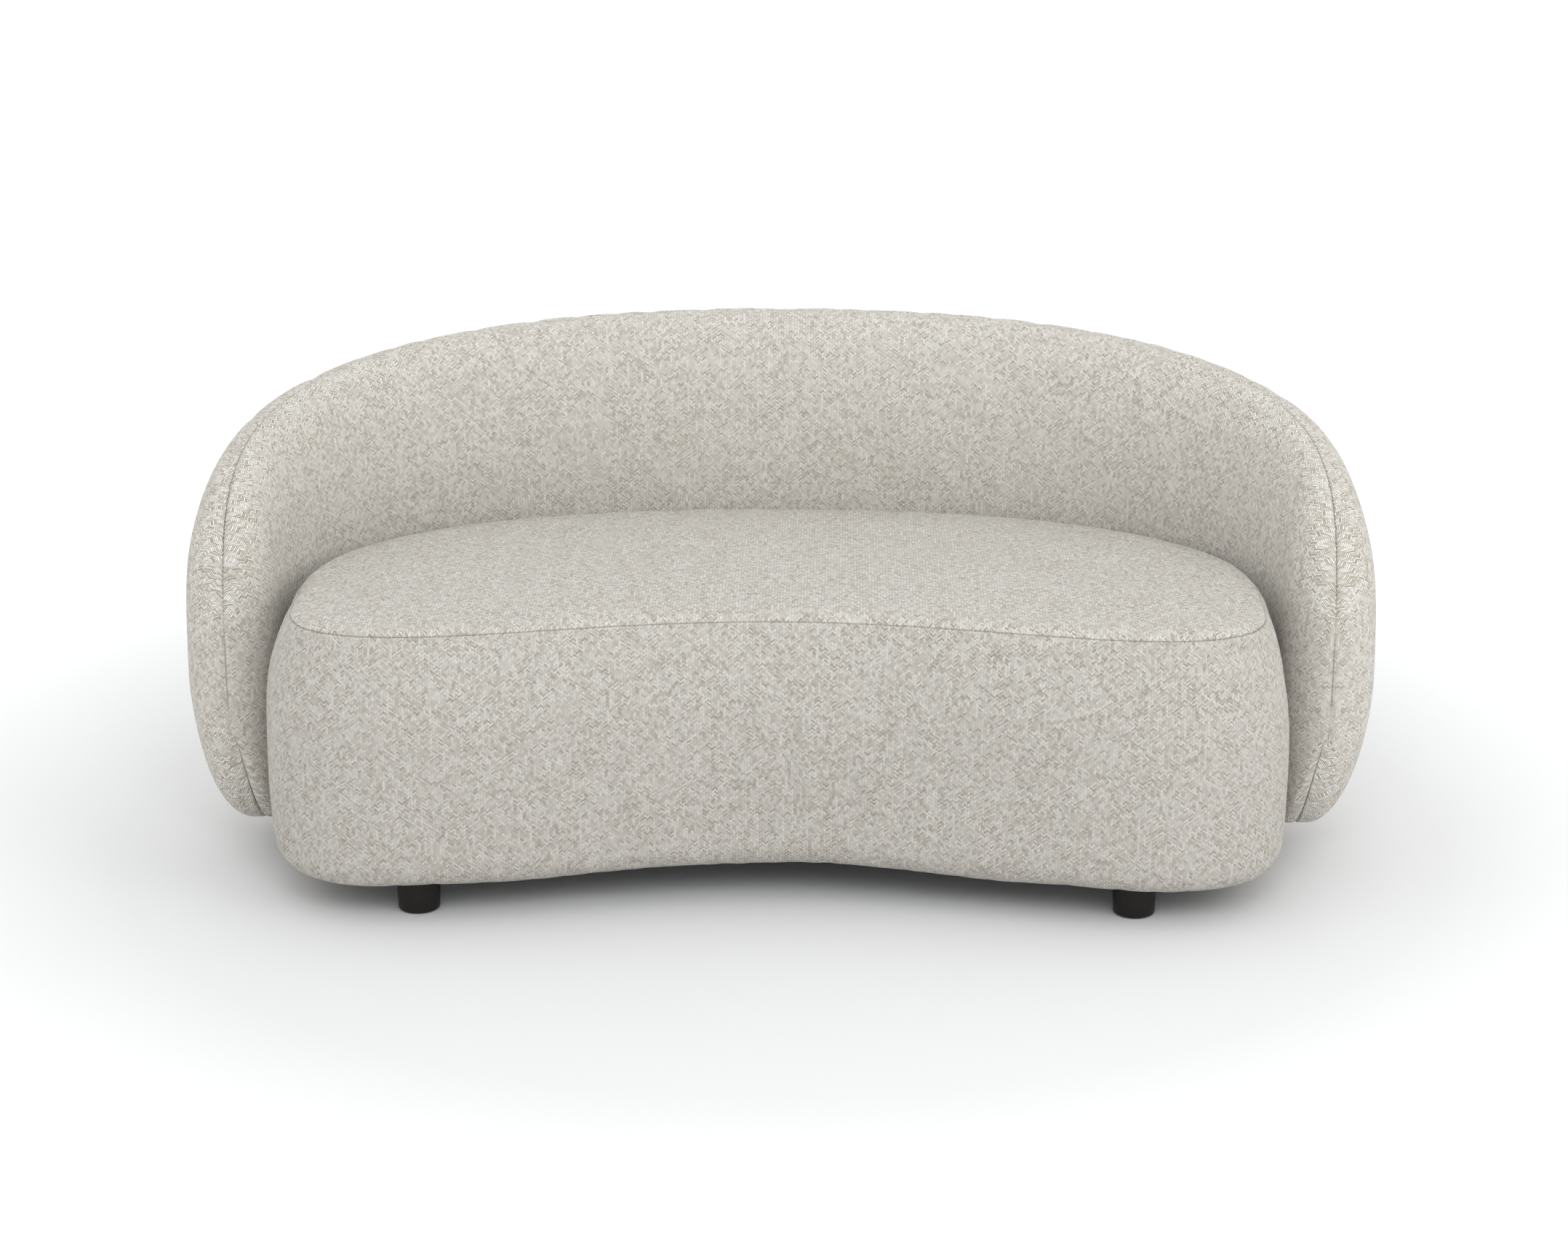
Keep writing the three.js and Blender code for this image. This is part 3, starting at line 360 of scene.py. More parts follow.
def puffed(name, points, faces, hold):
    """Points of a padded cover after a short cloth simulation. hold is how firmly each is kept."""
    body = make_object(name, points, faces)
    group = body.vertex_groups.new(name="hold")
    for level in np.unique(hold):
        group.add(np.flatnonzero(hold == level).tolist(), float(level), "REPLACE")
    cloth = body.modifiers.new("cloth", "CLOTH")
    for setting, value in CLOTH_SETTINGS.items():
        setattr(cloth.settings, setting, value)
    cloth.settings.effector_weights.gravity = 0
    cloth.collision_settings.use_collision = False
    cloth.point_cache.frame_start = 1
    cloth.point_cache.frame_end = CLOTH_FRAMES
    for step in range(1, CLOTH_FRAMES + 1):
        bpy.context.scene.frame_set(step)
    shaped = body.evaluated_get(bpy.context.evaluated_depsgraph_get()).data
    moved = np.empty(len(points) * 3)
    shaped.vertices.foreach_get("co", moved)
    shift = moved.reshape(-1, 3) - points
    reach = np.linalg.norm(shift, axis=1, keepdims=True)
    shift *= np.minimum(1.0, PADDING_CAP / np.maximum(reach, 1e-9))
    bpy.data.objects.remove(body)
    bpy.context.scene.frame_set(1)
    print(name, "moved by up to", round(float(reach.max()) * 1000, 1), "mm, on average",
          round(float(reach.mean()) * 1000, 1), "mm")
    return points + shift


# %% [markdown]
# ## The seat's outline
# Seen from above the seat is a bean: two superellipses, a full one at the rear and a squarer one at the
# front, with a dent in the front. The frame gives the half width and the depth. Columns of points
# stand at even distances round this outline, each with the direction that points out of the seat.

# %% Seat outline
seat_low, seat_high = (np.array(corner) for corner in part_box("seat_side_cover"))
SEAT_HALF_WIDTH = seat_high[0]
SEAT_REAR_REACH = 0.489
SEAT_FRONT_REACH = 0.299
FRONT_DENT_DEPTH = 0.142
REAR_FULLNESS = 2.34
FRONT_FULLNESS = 3.56
DENT_SHARPNESS = 2.24
WIDEST_LINE = seat_high[1] - SEAT_REAR_REACH
SEAT_COLUMNS = 440
FINE_STEPS = 6000


def signed_power(values, power):
    return np.sign(values) * np.abs(values) ** power


def outline_points(angles):
    """Places on the seat's outline, measured from the middle of its widest line."""
    c, s = np.cos(angles), np.sin(angles)
    rear = s >= 0
    power = 2 / np.where(rear, REAR_FULLNESS, FRONT_FULLNESS)
    x = SEAT_HALF_WIDTH * signed_power(c, power)
    y = np.where(rear, SEAT_REAR_REACH, SEAT_FRONT_REACH) * signed_power(s, power)
    hollow = np.maximum(0, 1 - (x / SEAT_HALF_WIDTH) ** 2) ** DENT_SHARPNESS
    return np.stack([x, np.where(rear, y, y + FRONT_DENT_DEPTH * hollow)], axis=1)


def seat_columns():
    """Columns from the front middle, round the right side, the rear and the left side."""
    fine = outline_points(np.linspace(-math.pi / 2, math.pi / 2, FINE_STEPS))
    half = spread_evenly(fine, SEAT_COLUMNS // 2 + 1)
    half[[0, -1], 0] = 0
    mirrored = half[-2:0:-1] * (-1, 1)
    ring = np.concatenate([half, mirrored])
    ahead = np.roll(ring, -1, axis=0) - np.roll(ring, 1, axis=0)
    out = np.stack([ahead[:, 1], -ahead[:, 0]], axis=1)
    out /= np.linalg.norm(out, axis=1, keepdims=True)
    return ring, out


seat_ring, seat_out = seat_columns()
print("seat columns", len(seat_ring), "every",
      round(float(lengths_along(seat_ring)[1]) * 1000, 1), "mm")

# %% [markdown]
# ## The seat's section
# Every column has the same kind of section. From the hem under the seat it turns up round the bottom
# edge, swells to the belly, draws in to the seam and rolls over it onto the crown. The front draws in
# more than the rear. The roll is a fillet: a curve that leaves the side and meets the top smoothly.

# %% Seat section
UNDERSIDE = seat_low[2]
BULGE_HEIGHT = 0.250
SEAM_HEIGHT = 0.420
FRONT_DRAW_IN = 0.0356
REAR_DRAW_IN = 0.014
DRAW_IN_POWER = 2.3
REAR_BLEND_POWER = 0.7
LOWER_DRAW_IN = 0.0057
BOTTOM_EDGE_RADIUS = 0.042
HEM_WIDTH = 0.025
SEAT_CROWN = 0.018
CROWN_FULLNESS = 2.6
CROWN_SHOULDER = 0.62
CROWN_REACH = 0.300
SEAM_ROLL = 0.018
TOP_RING_INSET = 0.060


def crown_height(share):
    return SEAT_CROWN * (1 - (1 - np.clip(share, 0, 1)) ** CROWN_FULLNESS) ** CROWN_SHOULDER


def seat_section(rear):
    """A fine line of insets and heights, from the hem up to the seam and on over the edge of the top."""
    draw_in = FRONT_DRAW_IN + (REAR_DRAW_IN - FRONT_DRAW_IN) * rear
    wall = UNDERSIDE + BOTTOM_EDGE_RADIUS
    turn = np.linspace(math.pi / 2, 0, 24)
    foot = LOWER_DRAW_IN * ((BULGE_HEIGHT - wall) / (BULGE_HEIGHT - UNDERSIDE)) ** 2
    edge = np.stack([foot + BOTTOM_EDGE_RADIUS * (1 - np.cos(turn)),
                     UNDERSIDE + BOTTOM_EDGE_RADIUS * (1 - np.sin(turn))], axis=1)
    edge[:, 0] += LOWER_DRAW_IN * ((wall - edge[:, 1]) / (BULGE_HEIGHT - UNDERSIDE))
    hem = np.array([[edge[0, 0] + HEM_WIDTH, UNDERSIDE]])
    low = np.linspace(wall, BULGE_HEIGHT, 60)[1:]
    drawn = LOWER_DRAW_IN * ((BULGE_HEIGHT - low) / (BULGE_HEIGHT - UNDERSIDE)) ** 2
    belly = np.stack([drawn, low], axis=1)
    share = np.linspace(0, 1, 90)[1:]
    upper = np.stack([draw_in * share ** DRAW_IN_POWER,
                      BULGE_HEIGHT + (SEAM_HEIGHT - BULGE_HEIGHT) * share], axis=1)
    inset = np.linspace(0, TOP_RING_INSET, 90)[1:]
    top = np.stack([draw_in + inset, SEAM_HEIGHT + crown_height(inset / CROWN_REACH)], axis=1)
    side = np.concatenate([hem, edge, belly, upper])
    return rolled(side, top)


def rolled(side, top):
    """Rounds the corner between side and top, and gives the length at which its middle, the seam, lies."""
    line = np.concatenate([side[-1:], top])
    side_reach, top_reach, corner = lengths_along(side), lengths_along(line), side[-1]
    start = np.array([np.interp(side_reach[-1] - SEAM_ROLL, side_reach, axis) for axis in side.T])
    end = np.array([np.interp(SEAM_ROLL, top_reach, axis) for axis in line.T])
    share = np.linspace(0, 1, 41)[:, None]
    curve = (1 - share) ** 2 * start + 2 * share * (1 - share) * corner + share ** 2 * end
    kept = side[side_reach < side_reach[-1] - SEAM_ROLL]
    whole = np.concatenate([kept, curve, line[top_reach > SEAM_ROLL]])
    return whole, lengths_along(whole)[len(kept) + len(curve) // 2]


# %% Rows of the seat's panels
NEAR_SEAM = np.array([0.0016, 0.0042, 0.0085, 0.0145])
ROW_STEP = 0.0082


def seat_rows():
    """Insets and heights of every row of every column, and the number of the seam's row."""
    rears = np.clip(seat_ring[:, 1] / SEAT_REAR_REACH, 0, 1) ** REAR_BLEND_POWER
    sections = [seat_section(rear) for rear in rears]
    first_line, seam = sections[0]
    length = lengths_along(first_line)[-1]
    below = int(round((seam - NEAR_SEAM[-1]) / ROW_STEP))
    above = int(round((length - seam - NEAR_SEAM[-1]) / ROW_STEP))
    grid = []
    for line, seam_reach in sections:
        reach = lengths_along(line)
        lower = np.linspace(0, seam_reach - NEAR_SEAM[-1], below + 1)
        upper = np.linspace(seam_reach + NEAR_SEAM[-1], reach[-1], above + 1)
        wanted = np.concatenate([lower, seam_reach - NEAR_SEAM[-2::-1], [seam_reach],
                                 seam_reach + NEAR_SEAM[:-1], upper])
        grid.append(np.stack([np.interp(wanted, reach, axis) for axis in line.T], axis=1))
    return np.array(grid).transpose(1, 0, 2), below + len(NEAR_SEAM)


seat_profile, SEAM_ROW = seat_rows()
LOBE_SAG, DENT_LIFT = 0.006, 0.003
SAG_TOP, LOBE_DEPTH, DENT_WIDTH = 0.21, 0.12, 0.30


def sagged(heights):
    """Lets the two front lobes hang a little lower than the rest of the hem."""
    front = np.clip(-seat_ring[:, 1] / LOBE_DEPTH, 0, 1)
    middle = np.exp(-(seat_ring[:, 0] / DENT_WIDTH) ** 2)
    low = np.clip((SAG_TOP - heights) / (SAG_TOP - UNDERSIDE), 0, 1) ** 1.5
    return heights + low * front * (DENT_LIFT * middle - LOBE_SAG * (1 - middle))


seat_profile[:, :, 1] = sagged(seat_profile[:, :, 1])
seat_xy = seat_ring[None] - seat_out[None] * seat_profile[:, :, :1]
seat_grid = np.concatenate([seat_xy, seat_profile[:, :, 1:]], axis=2)
seat_grid[:, :, 1] += WIDEST_LINE
print("seat rows", len(seat_grid), "seam at row", SEAM_ROW)

# %% [markdown]
# ## The middle of the seat's top
# Rings that shrink to a point would crowd there. So inside the last ring the top is filled by a patch:
# its four sides are stretches of that ring, and each inner point blends the points opposite it. The
# crown rises from the seam to a ridge along the middle of the bean.

# %% Top patch
PATCH_HALF = 76
RIDGE_SETBACK = 0.120
RIDGE_SHARE = 0.55


def patch_between(ring, half):
    """Fills a closed ring with a grid, by blending its four sides. Gives points and corner numbers."""
    count = len(ring)
    deep = count // 2 - 2 * half
    ends = np.cumsum([-half, 2 * half, deep, 2 * half, deep])
    front, right, rear, left = (np.arange(a, b + 1) % count for a, b in zip(ends, ends[1:]))
    edge = np.full((deep + 1, 2 * half + 1), -1)
    edge[0], edge[:, -1], edge[-1], edge[:, 0] = front, right, rear[::-1], left[::-1]
    front, right, rear, left = (ring[side] for side in (edge[0], edge[:, -1], edge[-1], edge[:, 0]))
    u = np.linspace(0, 1, 2 * half + 1)[None, :, None]
    v = np.linspace(0, 1, deep + 1)[:, None, None]
    sides = (1 - v) * front[None] + v * rear[None] + (1 - u) * left[:, None] + u * right[:, None]
    corners = (1 - u) * (1 - v) * front[0] + u * (1 - v) * front[-1]
    corners = corners + (1 - u) * v * rear[0] + u * v * rear[-1]
    return sides - corners, edge


def crowned(points, edge_line):
    """Lifts points of the top onto the crown, by how far each lies between the edge and the ridge."""
    ridge_x = np.clip(points[..., 0], -RIDGE_SHARE * SEAT_HALF_WIDTH, RIDGE_SHARE * SEAT_HALF_WIDTH)
    ridge = np.hypot(points[..., 0] - ridge_x, points[..., 1] - WIDEST_LINE - RIDGE_SETBACK)
    edge = np.min(np.linalg.norm(points[..., None, :2] - edge_line[:, :2], axis=-1), axis=-1)
    lifted = points.copy()
    share = edge / (edge + ridge)
    lifted[..., 2] = SEAM_HEIGHT + crown_height(share)
    return lifted


top_patch, patch_edge = patch_between(seat_grid[-1], PATCH_HALF)
patch_lifted = crowned(top_patch, seat_grid[SEAM_ROW])
ring_lifted = crowned(seat_grid[SEAM_ROW:], seat_grid[SEAM_ROW])
ease = np.clip((np.arange(len(ring_lifted)) - 4) / (len(ring_lifted) - 5), 0, 1)[:, None] ** 1.5
seat_grid[SEAM_ROW:, :, 2] += (ring_lifted[..., 2] - seat_grid[SEAM_ROW:, :, 2]) * ease
top_patch[..., 2] = patch_lifted[..., 2]
print("top patch", top_patch.shape[:2], "crown", round(float(top_patch[..., 2].max()), 4))

# %% [markdown]
# ## Inflating the seat
# The whole block is simulated at once, closed underneath, so that side and top pull on each other at
# their seam as the sewn covers do.

# %% Seat simulation
HEM_ROWS = 4
FIRMER = 0.7
BESIDE_BACK = 0.10


def seat_numbers():
    """Point numbers of the rows and of the patch, which shares the last row's points."""
    rows, columns = seat_grid.shape[:2]
    ring = np.arange(rows * columns).reshape(rows, columns)
    patch = np.where(patch_edge >= 0, ring[-1][np.maximum(patch_edge, 0)], -1)
    inner = patch < 0
    patch[inner] = rows * columns + np.arange(inner.sum())
    return ring, patch, inner


ring_numbers, patch_numbers, patch_inner = seat_numbers()
seat_points = np.concatenate([seat_grid.reshape(-1, 3), top_patch[patch_inner]])
seat_faces = without_repeats(quads_between(ring_numbers, True))
seat_faces += without_repeats(quads_between(patch_numbers, False))
seat_faces.append(ring_numbers[0][::-1].tolist())
seat_hold = np.full(len(seat_points), FOAM_HOLD)
beside_back = np.clip((seat_ring[:, 1] + BESIDE_BACK) / BESIDE_BACK, 0, 1)
seat_hold[ring_numbers.ravel()] += np.round(np.tile(beside_back, len(seat_grid)) * FIRMER, 1)
seat_hold[ring_numbers[SEAM_ROW:].ravel()] = FOAM_HOLD
seat_hold[ring_numbers[SEAM_ROW]] = 1.0
seat_hold[ring_numbers[:HEM_ROWS].ravel()] = 1.0
seat_points = puffed("seat_trial", seat_points, seat_faces, seat_hold)

# %% [markdown]
# ## Seams and puckers
# A seam is where two panels are pulled in by one line of thread. The cloth rolls over on both sides and
# meets in a narrow groove, and small puckers run away from it, because no two layers feed alike through
# a machine. Both come after the simulation, as exact moves along the surface's own direction. The
# distance to the seam is found with a tree of points, which works for any course of the seam.

# %% Shaping after the simulation
GROOVE_HALF, GROOVE_EDGE = 0.0034, 1.3
PUCKER_LENGTH, PUCKER_FADE, PUCKER_START = 0.042, 0.022, 0.003
HAND_LENGTH, HAND_START, HAND_FADE = 0.21, 0.01, 0.08
SEAM_STEP = 0.0015


def soft_waves(points, length, seed, count=28):
    """Smooth unevenness, mostly between -1 and 1, with its hollows about so far apart."""
    random = np.random.default_rng(seed)
    ways = random.normal(size=(count, 3))
    ways *= random.uniform(0.6, 1.3, (count, 1)) / np.linalg.norm(ways, axis=1, keepdims=True)
    starts = random.uniform(0, 2 * math.pi, count)
    return np.sin(points @ ways.T * (2 * math.pi / length) + starts).sum(axis=1) / math.sqrt(count)


def distance_to(line, points):
    """How far each point lies from a line of points."""
    tree = kdtree.KDTree(len(line))
    for number, place in enumerate(line):
        tree.insert(place, number)
    tree.balance()
    return np.array([tree.find(point)[2] for point in points])


def sewn(points, faces, seam, groove, pucker, unevenness, seed):
    """Pulls the seam in, puckers the cloth beside it and makes the rest a little uneven, as by hand."""
    away = distance_to(seam, points)
    lift = -groove * np.exp(-(away / GROOVE_HALF) ** GROOVE_EDGE)
    near = np.exp(-away / PUCKER_FADE) * (1 - 0.6 * np.exp(-(away / PUCKER_START) ** 2))
    lift += pucker * near * soft_waves(points, PUCKER_LENGTH, seed)
    far = np.clip((away - HAND_START) / HAND_FADE, 0, 1)
    lift += unevenness * far * soft_waves(points, HAND_LENGTH, seed + 1)
    return points + outward(points, faces) * lift[:, None]


def between_points(line, gap, closed=False):
    """The same line with points no further apart than the gap."""
    if closed:
        line = np.concatenate([line, line[:1]])
    return spread_evenly(line, int(lengths_along(line)[-1] / gap) + 2)


seat_seam = seat_points[ring_numbers[SEAM_ROW]]
seat_points = sewn(seat_points, seat_faces, between_points(seat_seam, SEAM_STEP, True),
                   groove=0.0004, pucker=0.0005, unevenness=0.0014, seed=11)
print("seat points", len(seat_points))

# %% [markdown]
# ## Two pads from one body
# The side and the top are sewn from separate panels, so they become separate pieces that meet at the
# seam. Each is closed on its hidden side with a few wide faces, at the depth where its foam ends: the
# side pad against the bent board, the top block on the webbing.

# %% Finishing a pad
SIDE_FOAM_DEPTH = 0.045
WALL_INSET = SIDE_FOAM_DEPTH * 0.6
RIM_DROP, RIM_INSET, BLOCK_INSET = 0.012, 0.012, 0.030
FOAM_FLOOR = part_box("seat_foam_block")[0].z
SMOOTH_LEVELS = 1


def finish_pad(thing, nodes, material):
    """Gives a pad its cloth and one subdivision, hides the nodes it stands for, and attaches it to its body.
    """
    thing.data.materials.append(material)
    thing.data.shade_smooth()
    smooth = thing.modifiers.new("smooth", "SUBSURF")
    smooth.levels = smooth.render_levels = SMOOTH_LEVELS
    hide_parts(*nodes)
    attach(thing, "root")
    print(thing.name, "faces", len(thing.data.polygons))
    return thing


def inner_ring(inset, z):
    """A ring of points inside the seat, set in from the points of the seam."""
    ring = seat_points[ring_numbers[SEAM_ROW]]
    flat = ring[:, :2] - seat_out * inset
    return np.concatenate([flat, np.full((len(ring), 1), z)], axis=1)


def only_used(points, faces, flat):
    """Drops the points that no face uses."""
    used = np.unique(np.concatenate(faces))
    number = np.full(len(points), -1)
    number[used] = np.arange(len(used))
    return points[used], [number[face].tolist() for face in faces], flat[used]


# %% Side pad of the seat
girth = float(lengths_along(np.concatenate([seat_ring, seat_ring[:1]]))[-1])
column_places = np.arange(SEAT_COLUMNS) * girth / SEAT_COLUMNS
row_places = lengths_along(seat_grid[:, 0])


def seat_side_pad():
    rows = ring_numbers[:SEAM_ROW + 1]
    wall = [inner_ring(WALL_INSET, SEAM_HEIGHT - RIM_DROP), inner_ring(WALL_INSET, UNDERSIDE + RIM_DROP)]
    points = np.concatenate([seat_points, *wall])
    extra = len(seat_points) + np.arange(2 * SEAT_COLUMNS).reshape(2, -1)
    numbers = np.concatenate([rows, extra, rows[:1]])
    faces = without_repeats(quads_between(numbers, True))
    flat = np.zeros((len(points), 2))
    flat[ring_numbers, 0] = column_places
    flat[ring_numbers, 1] = row_places[:, None]
    flat[extra] = flat[ring_numbers[SEAM_ROW]]
    pad = make_object("seat_side_pad", *only_used(points, faces, flat), girth)
    # The side pad gets the darkest copy of the cloth, as painted shade.
    return finish_pad(pad, ["seat_side_cover", "seat_side_foam"], CLOTH_PAINTED_SHADE_SIDE)


# %% Top pad of the seat
def flat_underside(ring):
    """Faces that close a ring of point numbers below: long strips from front to rear, and both ends."""
    front, rear = ring[patch_edge[0]], ring[patch_edge[-1]]
    strips = [quads_between(np.stack([rear, front]), False)]
    half = len(patch_edge) // 2 + 1
    for side, order in ((0, 1), (-1, -1)):
        line = ring[patch_edge[:, side]]
        ends = np.stack([line[:half], line[::-1][:half]])
        strips.append(quads_between(ends[::order], False))
    return np.concatenate(strips)


def seat_top_pad():
    rows = ring_numbers[SEAM_ROW:]
    rim = inner_ring(RIM_INSET, SEAM_HEIGHT - RIM_DROP)
    block = inner_ring(BLOCK_INSET, FOAM_FLOOR)
    points = np.concatenate([seat_points, rim, block])
    extra = len(seat_points) + np.arange(2 * SEAT_COLUMNS).reshape(2, -1)
    faces = without_repeats(quads_between(np.concatenate([extra[::-1], rows]), True))
    faces += without_repeats(quads_between(patch_numbers, False))
    faces += without_repeats(flat_underside(extra[1]))
    pad = make_object("seat_top_pad", *only_used(points, faces, points[:, :2].copy()))
    # The top pad gets a slightly darker copy of the cloth, as painted shade.
    return finish_pad(pad, ["seat_top_cover", "seat_foam_block"], CLOTH_PAINTED_SHADE_TOP)


seat_side_pad()
seat_top_pad()

# %% [markdown]
# ## The path of the back
# The back wraps the rear of the seat. Its sections stand on a path that starts at the right arm tip,
# runs straight for a little, and then follows a superellipse just outside the seat to the left arm tip.

# %% Back path
BACK_GAP = 0.002
ARM_EXTENSION = 0.020
BACK_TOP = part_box("back_inner_cover")[1].z
BACK_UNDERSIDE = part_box("back_inner_cover")[0].z


def back_path():
    side, rear = SEAT_HALF_WIDTH + BACK_GAP, SEAT_REAR_REACH + BACK_GAP
    angles = np.linspace(0, math.pi, FINE_STEPS)
    power = 2 / REAR_FULLNESS
    curve = np.stack([side * signed_power(np.cos(angles), power),
                      rear * np.abs(np.sin(angles)) ** power], axis=1)
    ends = np.array([[side, -ARM_EXTENSION]]), np.array([[-side, -ARM_EXTENSION]])
    line = spread_evenly(np.concatenate([ends[0], curve, ends[1]]), FINE_STEPS)
    ahead = np.gradient(line, axis=0)
    out = np.stack([ahead[:, 1], -ahead[:, 0]], axis=1)
    return line, out / np.linalg.norm(out, axis=1, keepdims=True)


path_line, path_out = back_path()
path_reach = lengths_along(path_line)
PATH_LENGTH = float(path_reach[-1])
HALF_PATH = PATH_LENGTH / 2


def back_place(reach, across, z):
    """Points at a reach along the path, so far outward across it, at heights."""
    at, out = (np.array([np.interp(reach, path_reach, axis) for axis in grid.T])
               for grid in (path_line, path_out))
    flat = at[None] + out[None] * np.asarray(across)[:, None]
    return np.concatenate([flat + (0, WIDEST_LINE), np.asarray(z)[:, None]], axis=1)


print("path of the back", round(PATH_LENGTH, 3), "m")

# %% [markdown]
# ## The back's section
# The section is an upright pad, rounder at the top than at the bottom. It is tallest and thickest in
# the middle of the back and shrinks towards the arms, and in the last stretch of each arm it closes in a
# round nose. Its crest leans a little outward. The inner and the outer side are separate arcs, because
# they are separate panels.

# %% Back section
ARM_THICKNESS, BACK_THICKNESS, THICKENING = 0.1335, 0.1815, 1.5
ARM_TIP_HEIGHT = 0.269
CREST_RISE_POWER, CREST_ROUND_POWER = 2.71, 3.55
NOSE_LENGTH, NOSE_UNDER_LENGTH, NOSE_EASE = 0.075, 0.0895, 0.003
CREST_LEAN, LEAN_POWER = 0.015, 1.5
UPPER_FULLNESS, LOWER_FULLNESS = 2.81, 2.0
UNDER_INNER, UNDER_OUTER = 0.018, 0.052
ARM_SAG, ARM_FULLNESS, CREST_FULLNESS = 0.018, 0.003, 0.001
MIDDLE_EASE = 0.05
EASE_REACH = math.hypot(1, MIDDLE_EASE) - MIDDLE_EASE
FINE_TURNS = np.linspace(0, 1, 1200)


def back_section(tip, inward):
    """Fine places across and heights of one side of the section, from the underside to the crest."""
    tall = math.hypot(tip, NOSE_EASE)
    along = min(tall / HALF_PATH, 1)
    rise = (1 - (1 - along) ** CREST_RISE_POWER) ** (1 / CREST_ROUND_POWER)
    crest = ARM_TIP_HEIGHT + (BACK_TOP + CREST_FULLNESS - ARM_TIP_HEIGHT) * rise
    under = min(tall / NOSE_UNDER_LENGTH, 1)
    drop = ARM_TIP_HEIGHT - BACK_UNDERSIDE + ARM_SAG * (1 - along) ** 4
    floor = ARM_TIP_HEIGHT - drop * math.sqrt(1 - (1 - under) ** 2)
    spread = math.sqrt(1 - (1 - min(tip / NOSE_LENGTH, 1)) ** 2)
    share = 1 - (math.hypot(max(1 - tip / HALF_PATH, 0), MIDDLE_EASE) - MIDDLE_EASE) / EASE_REACH
    half = (ARM_THICKNESS + (BACK_THICKNESS - ARM_THICKNESS) * share ** THICKENING) / 2
    side = -1 if inward else 1
    turns = math.pi * (FINE_TURNS - 0.5)
    flat = half + ((UNDER_INNER if inward else UNDER_OUTER) - half) * spread
    upper = turns >= 0
    power = 2 / np.where(upper, UPPER_FULLNESS, LOWER_FULLNESS)
    out = np.cos(turns).clip(0) ** power
    up = signed_power(np.sin(turns), power)
    lean = CREST_LEAN * share * spread * np.maximum(up, 0) ** LEAN_POWER
    low_middle = flat + (half + side * half * spread - flat) * out
    across = np.where(upper, half + lean + side * half * spread * out, low_middle)
    across += 0 if inward else ARM_FULLNESS * spread * out * np.cos(turns).clip(0)
    hem = half + ((UNDER_INNER + UNDER_OUTER) / 2 - half) * spread
    arc = np.stack([across, (crest + floor) / 2 + (crest - floor) / 2 * up], axis=1)
    return np.concatenate([[[hem, floor]], arc])


# %% Stations and rows of the back
BACK_STEP = 0.0090
BACK_ROWS = 74
GRAIN_LEVEL = 0.300
NOSE_FIRST_TURNS = np.radians([0, 1.4, 3.6, 7.3, 12.5])


def back_stations():
    """Reaches of the sections. In the noses they crowd, so that points lie evenly round them."""
    rest = np.linspace(NOSE_FIRST_TURNS[-1], math.pi / 2, 11)[1:]
    nose = NOSE_LENGTH * (1 - np.cos(np.concatenate([NOSE_FIRST_TURNS, rest])))
    count = int(round((PATH_LENGTH - 2 * NOSE_LENGTH) / BACK_STEP))
    middle = np.linspace(NOSE_LENGTH, PATH_LENGTH - NOSE_LENGTH, count + 1)[1:-1]
    return np.concatenate([nose, middle, PATH_LENGTH - nose[::-1]])


def side_rows(reach, inward):
    """Points of one side of one section, from the hem to the crest, and their lengths above a level."""
    arc = back_section(min(reach, PATH_LENGTH - reach), inward)
    far = lengths_along(arc)
    close = NEAR_SEAM * min(1, far[-1] / 0.30)
    wanted = far[-1] - np.concatenate([np.linspace(far[-1], close[-1], BACK_ROWS - len(close) + 1),
                                       close[-2::-1], [0]])
    across, z = (np.interp(wanted, far, axis) for axis in arc.T)
    return back_place(reach, across, z), wanted - np.interp(GRAIN_LEVEL, arc[:, 1], far)


stations = back_stations()
inner_rows, inner_rise = (np.array(grid) for grid in zip(*[side_rows(reach, True) for reach in stations]))
outer_rows, outer_rise = (np.array(grid) for grid in zip(*[side_rows(reach, False) for reach in stations]))
print("back stations", len(stations), "rows on each side", inner_rows.shape[1])

# %% [markdown]
# ## Inflating the back
# Inner and outer side go into the simulation as one closed body. They share the points of the crest and
# of the line down each nose, which is the seam. Where the back stands against the seat it is held, so
# that nothing swells into its neighbour.

# %% Back simulation
SEAT_LEVEL, LEVEL_FADE = 0.47, 0.08


def back_numbers():
    """Point numbers of the two sides, as rows by stations, sharing the hem, the crest and the noses."""
    count, rows = inner_rows.shape[:2]
    inner = np.arange(count * rows).reshape(count, rows).T
    outer = inner.max() + 1 + np.arange(count * rows).reshape(count, rows).T
    outer[0], outer[-1] = inner[0], inner[-1]
    outer[:, 0], outer[:, -1] = inner[:, 0], inner[:, -1]
    return inner, outer


inner_numbers, outer_numbers = back_numbers()
back_points = np.concatenate([inner_rows.reshape(-1, 3), outer_rows.reshape(-1, 3)])
back_faces = without_repeats(quads_between(inner_numbers[:, ::-1], False))
back_faces += without_repeats(quads_between(outer_numbers, False))
back_hold = np.full(len(back_points), FOAM_HOLD)
against_seat = np.clip((SEAT_LEVEL - inner_rows[:, :, 2]) / LEVEL_FADE, 0, 1).T
back_hold[inner_numbers] += np.round(against_seat * FIRMER, 1)
for numbers in (inner_numbers, outer_numbers):
    back_hold[numbers[-1]] = back_hold[numbers[:3]] = 1.0
    back_hold[numbers[:, [0, -1]]] = 1.0
back_points = puffed("back_trial", back_points, back_faces, back_hold)
crest_line = back_points[inner_numbers[-1]]
right_nose, left_nose = back_points[inner_numbers[:, 0]], back_points[inner_numbers[::-1, -1]]
back_seam = np.concatenate([right_nose, crest_line[1:], left_nose[1:]])
back_points = sewn(back_points, back_faces, between_points(back_seam, SEAM_STEP),
                   groove=0.0022, pucker=0.0004, unevenness=0.0013, seed=23)
print("back points", len(back_points))

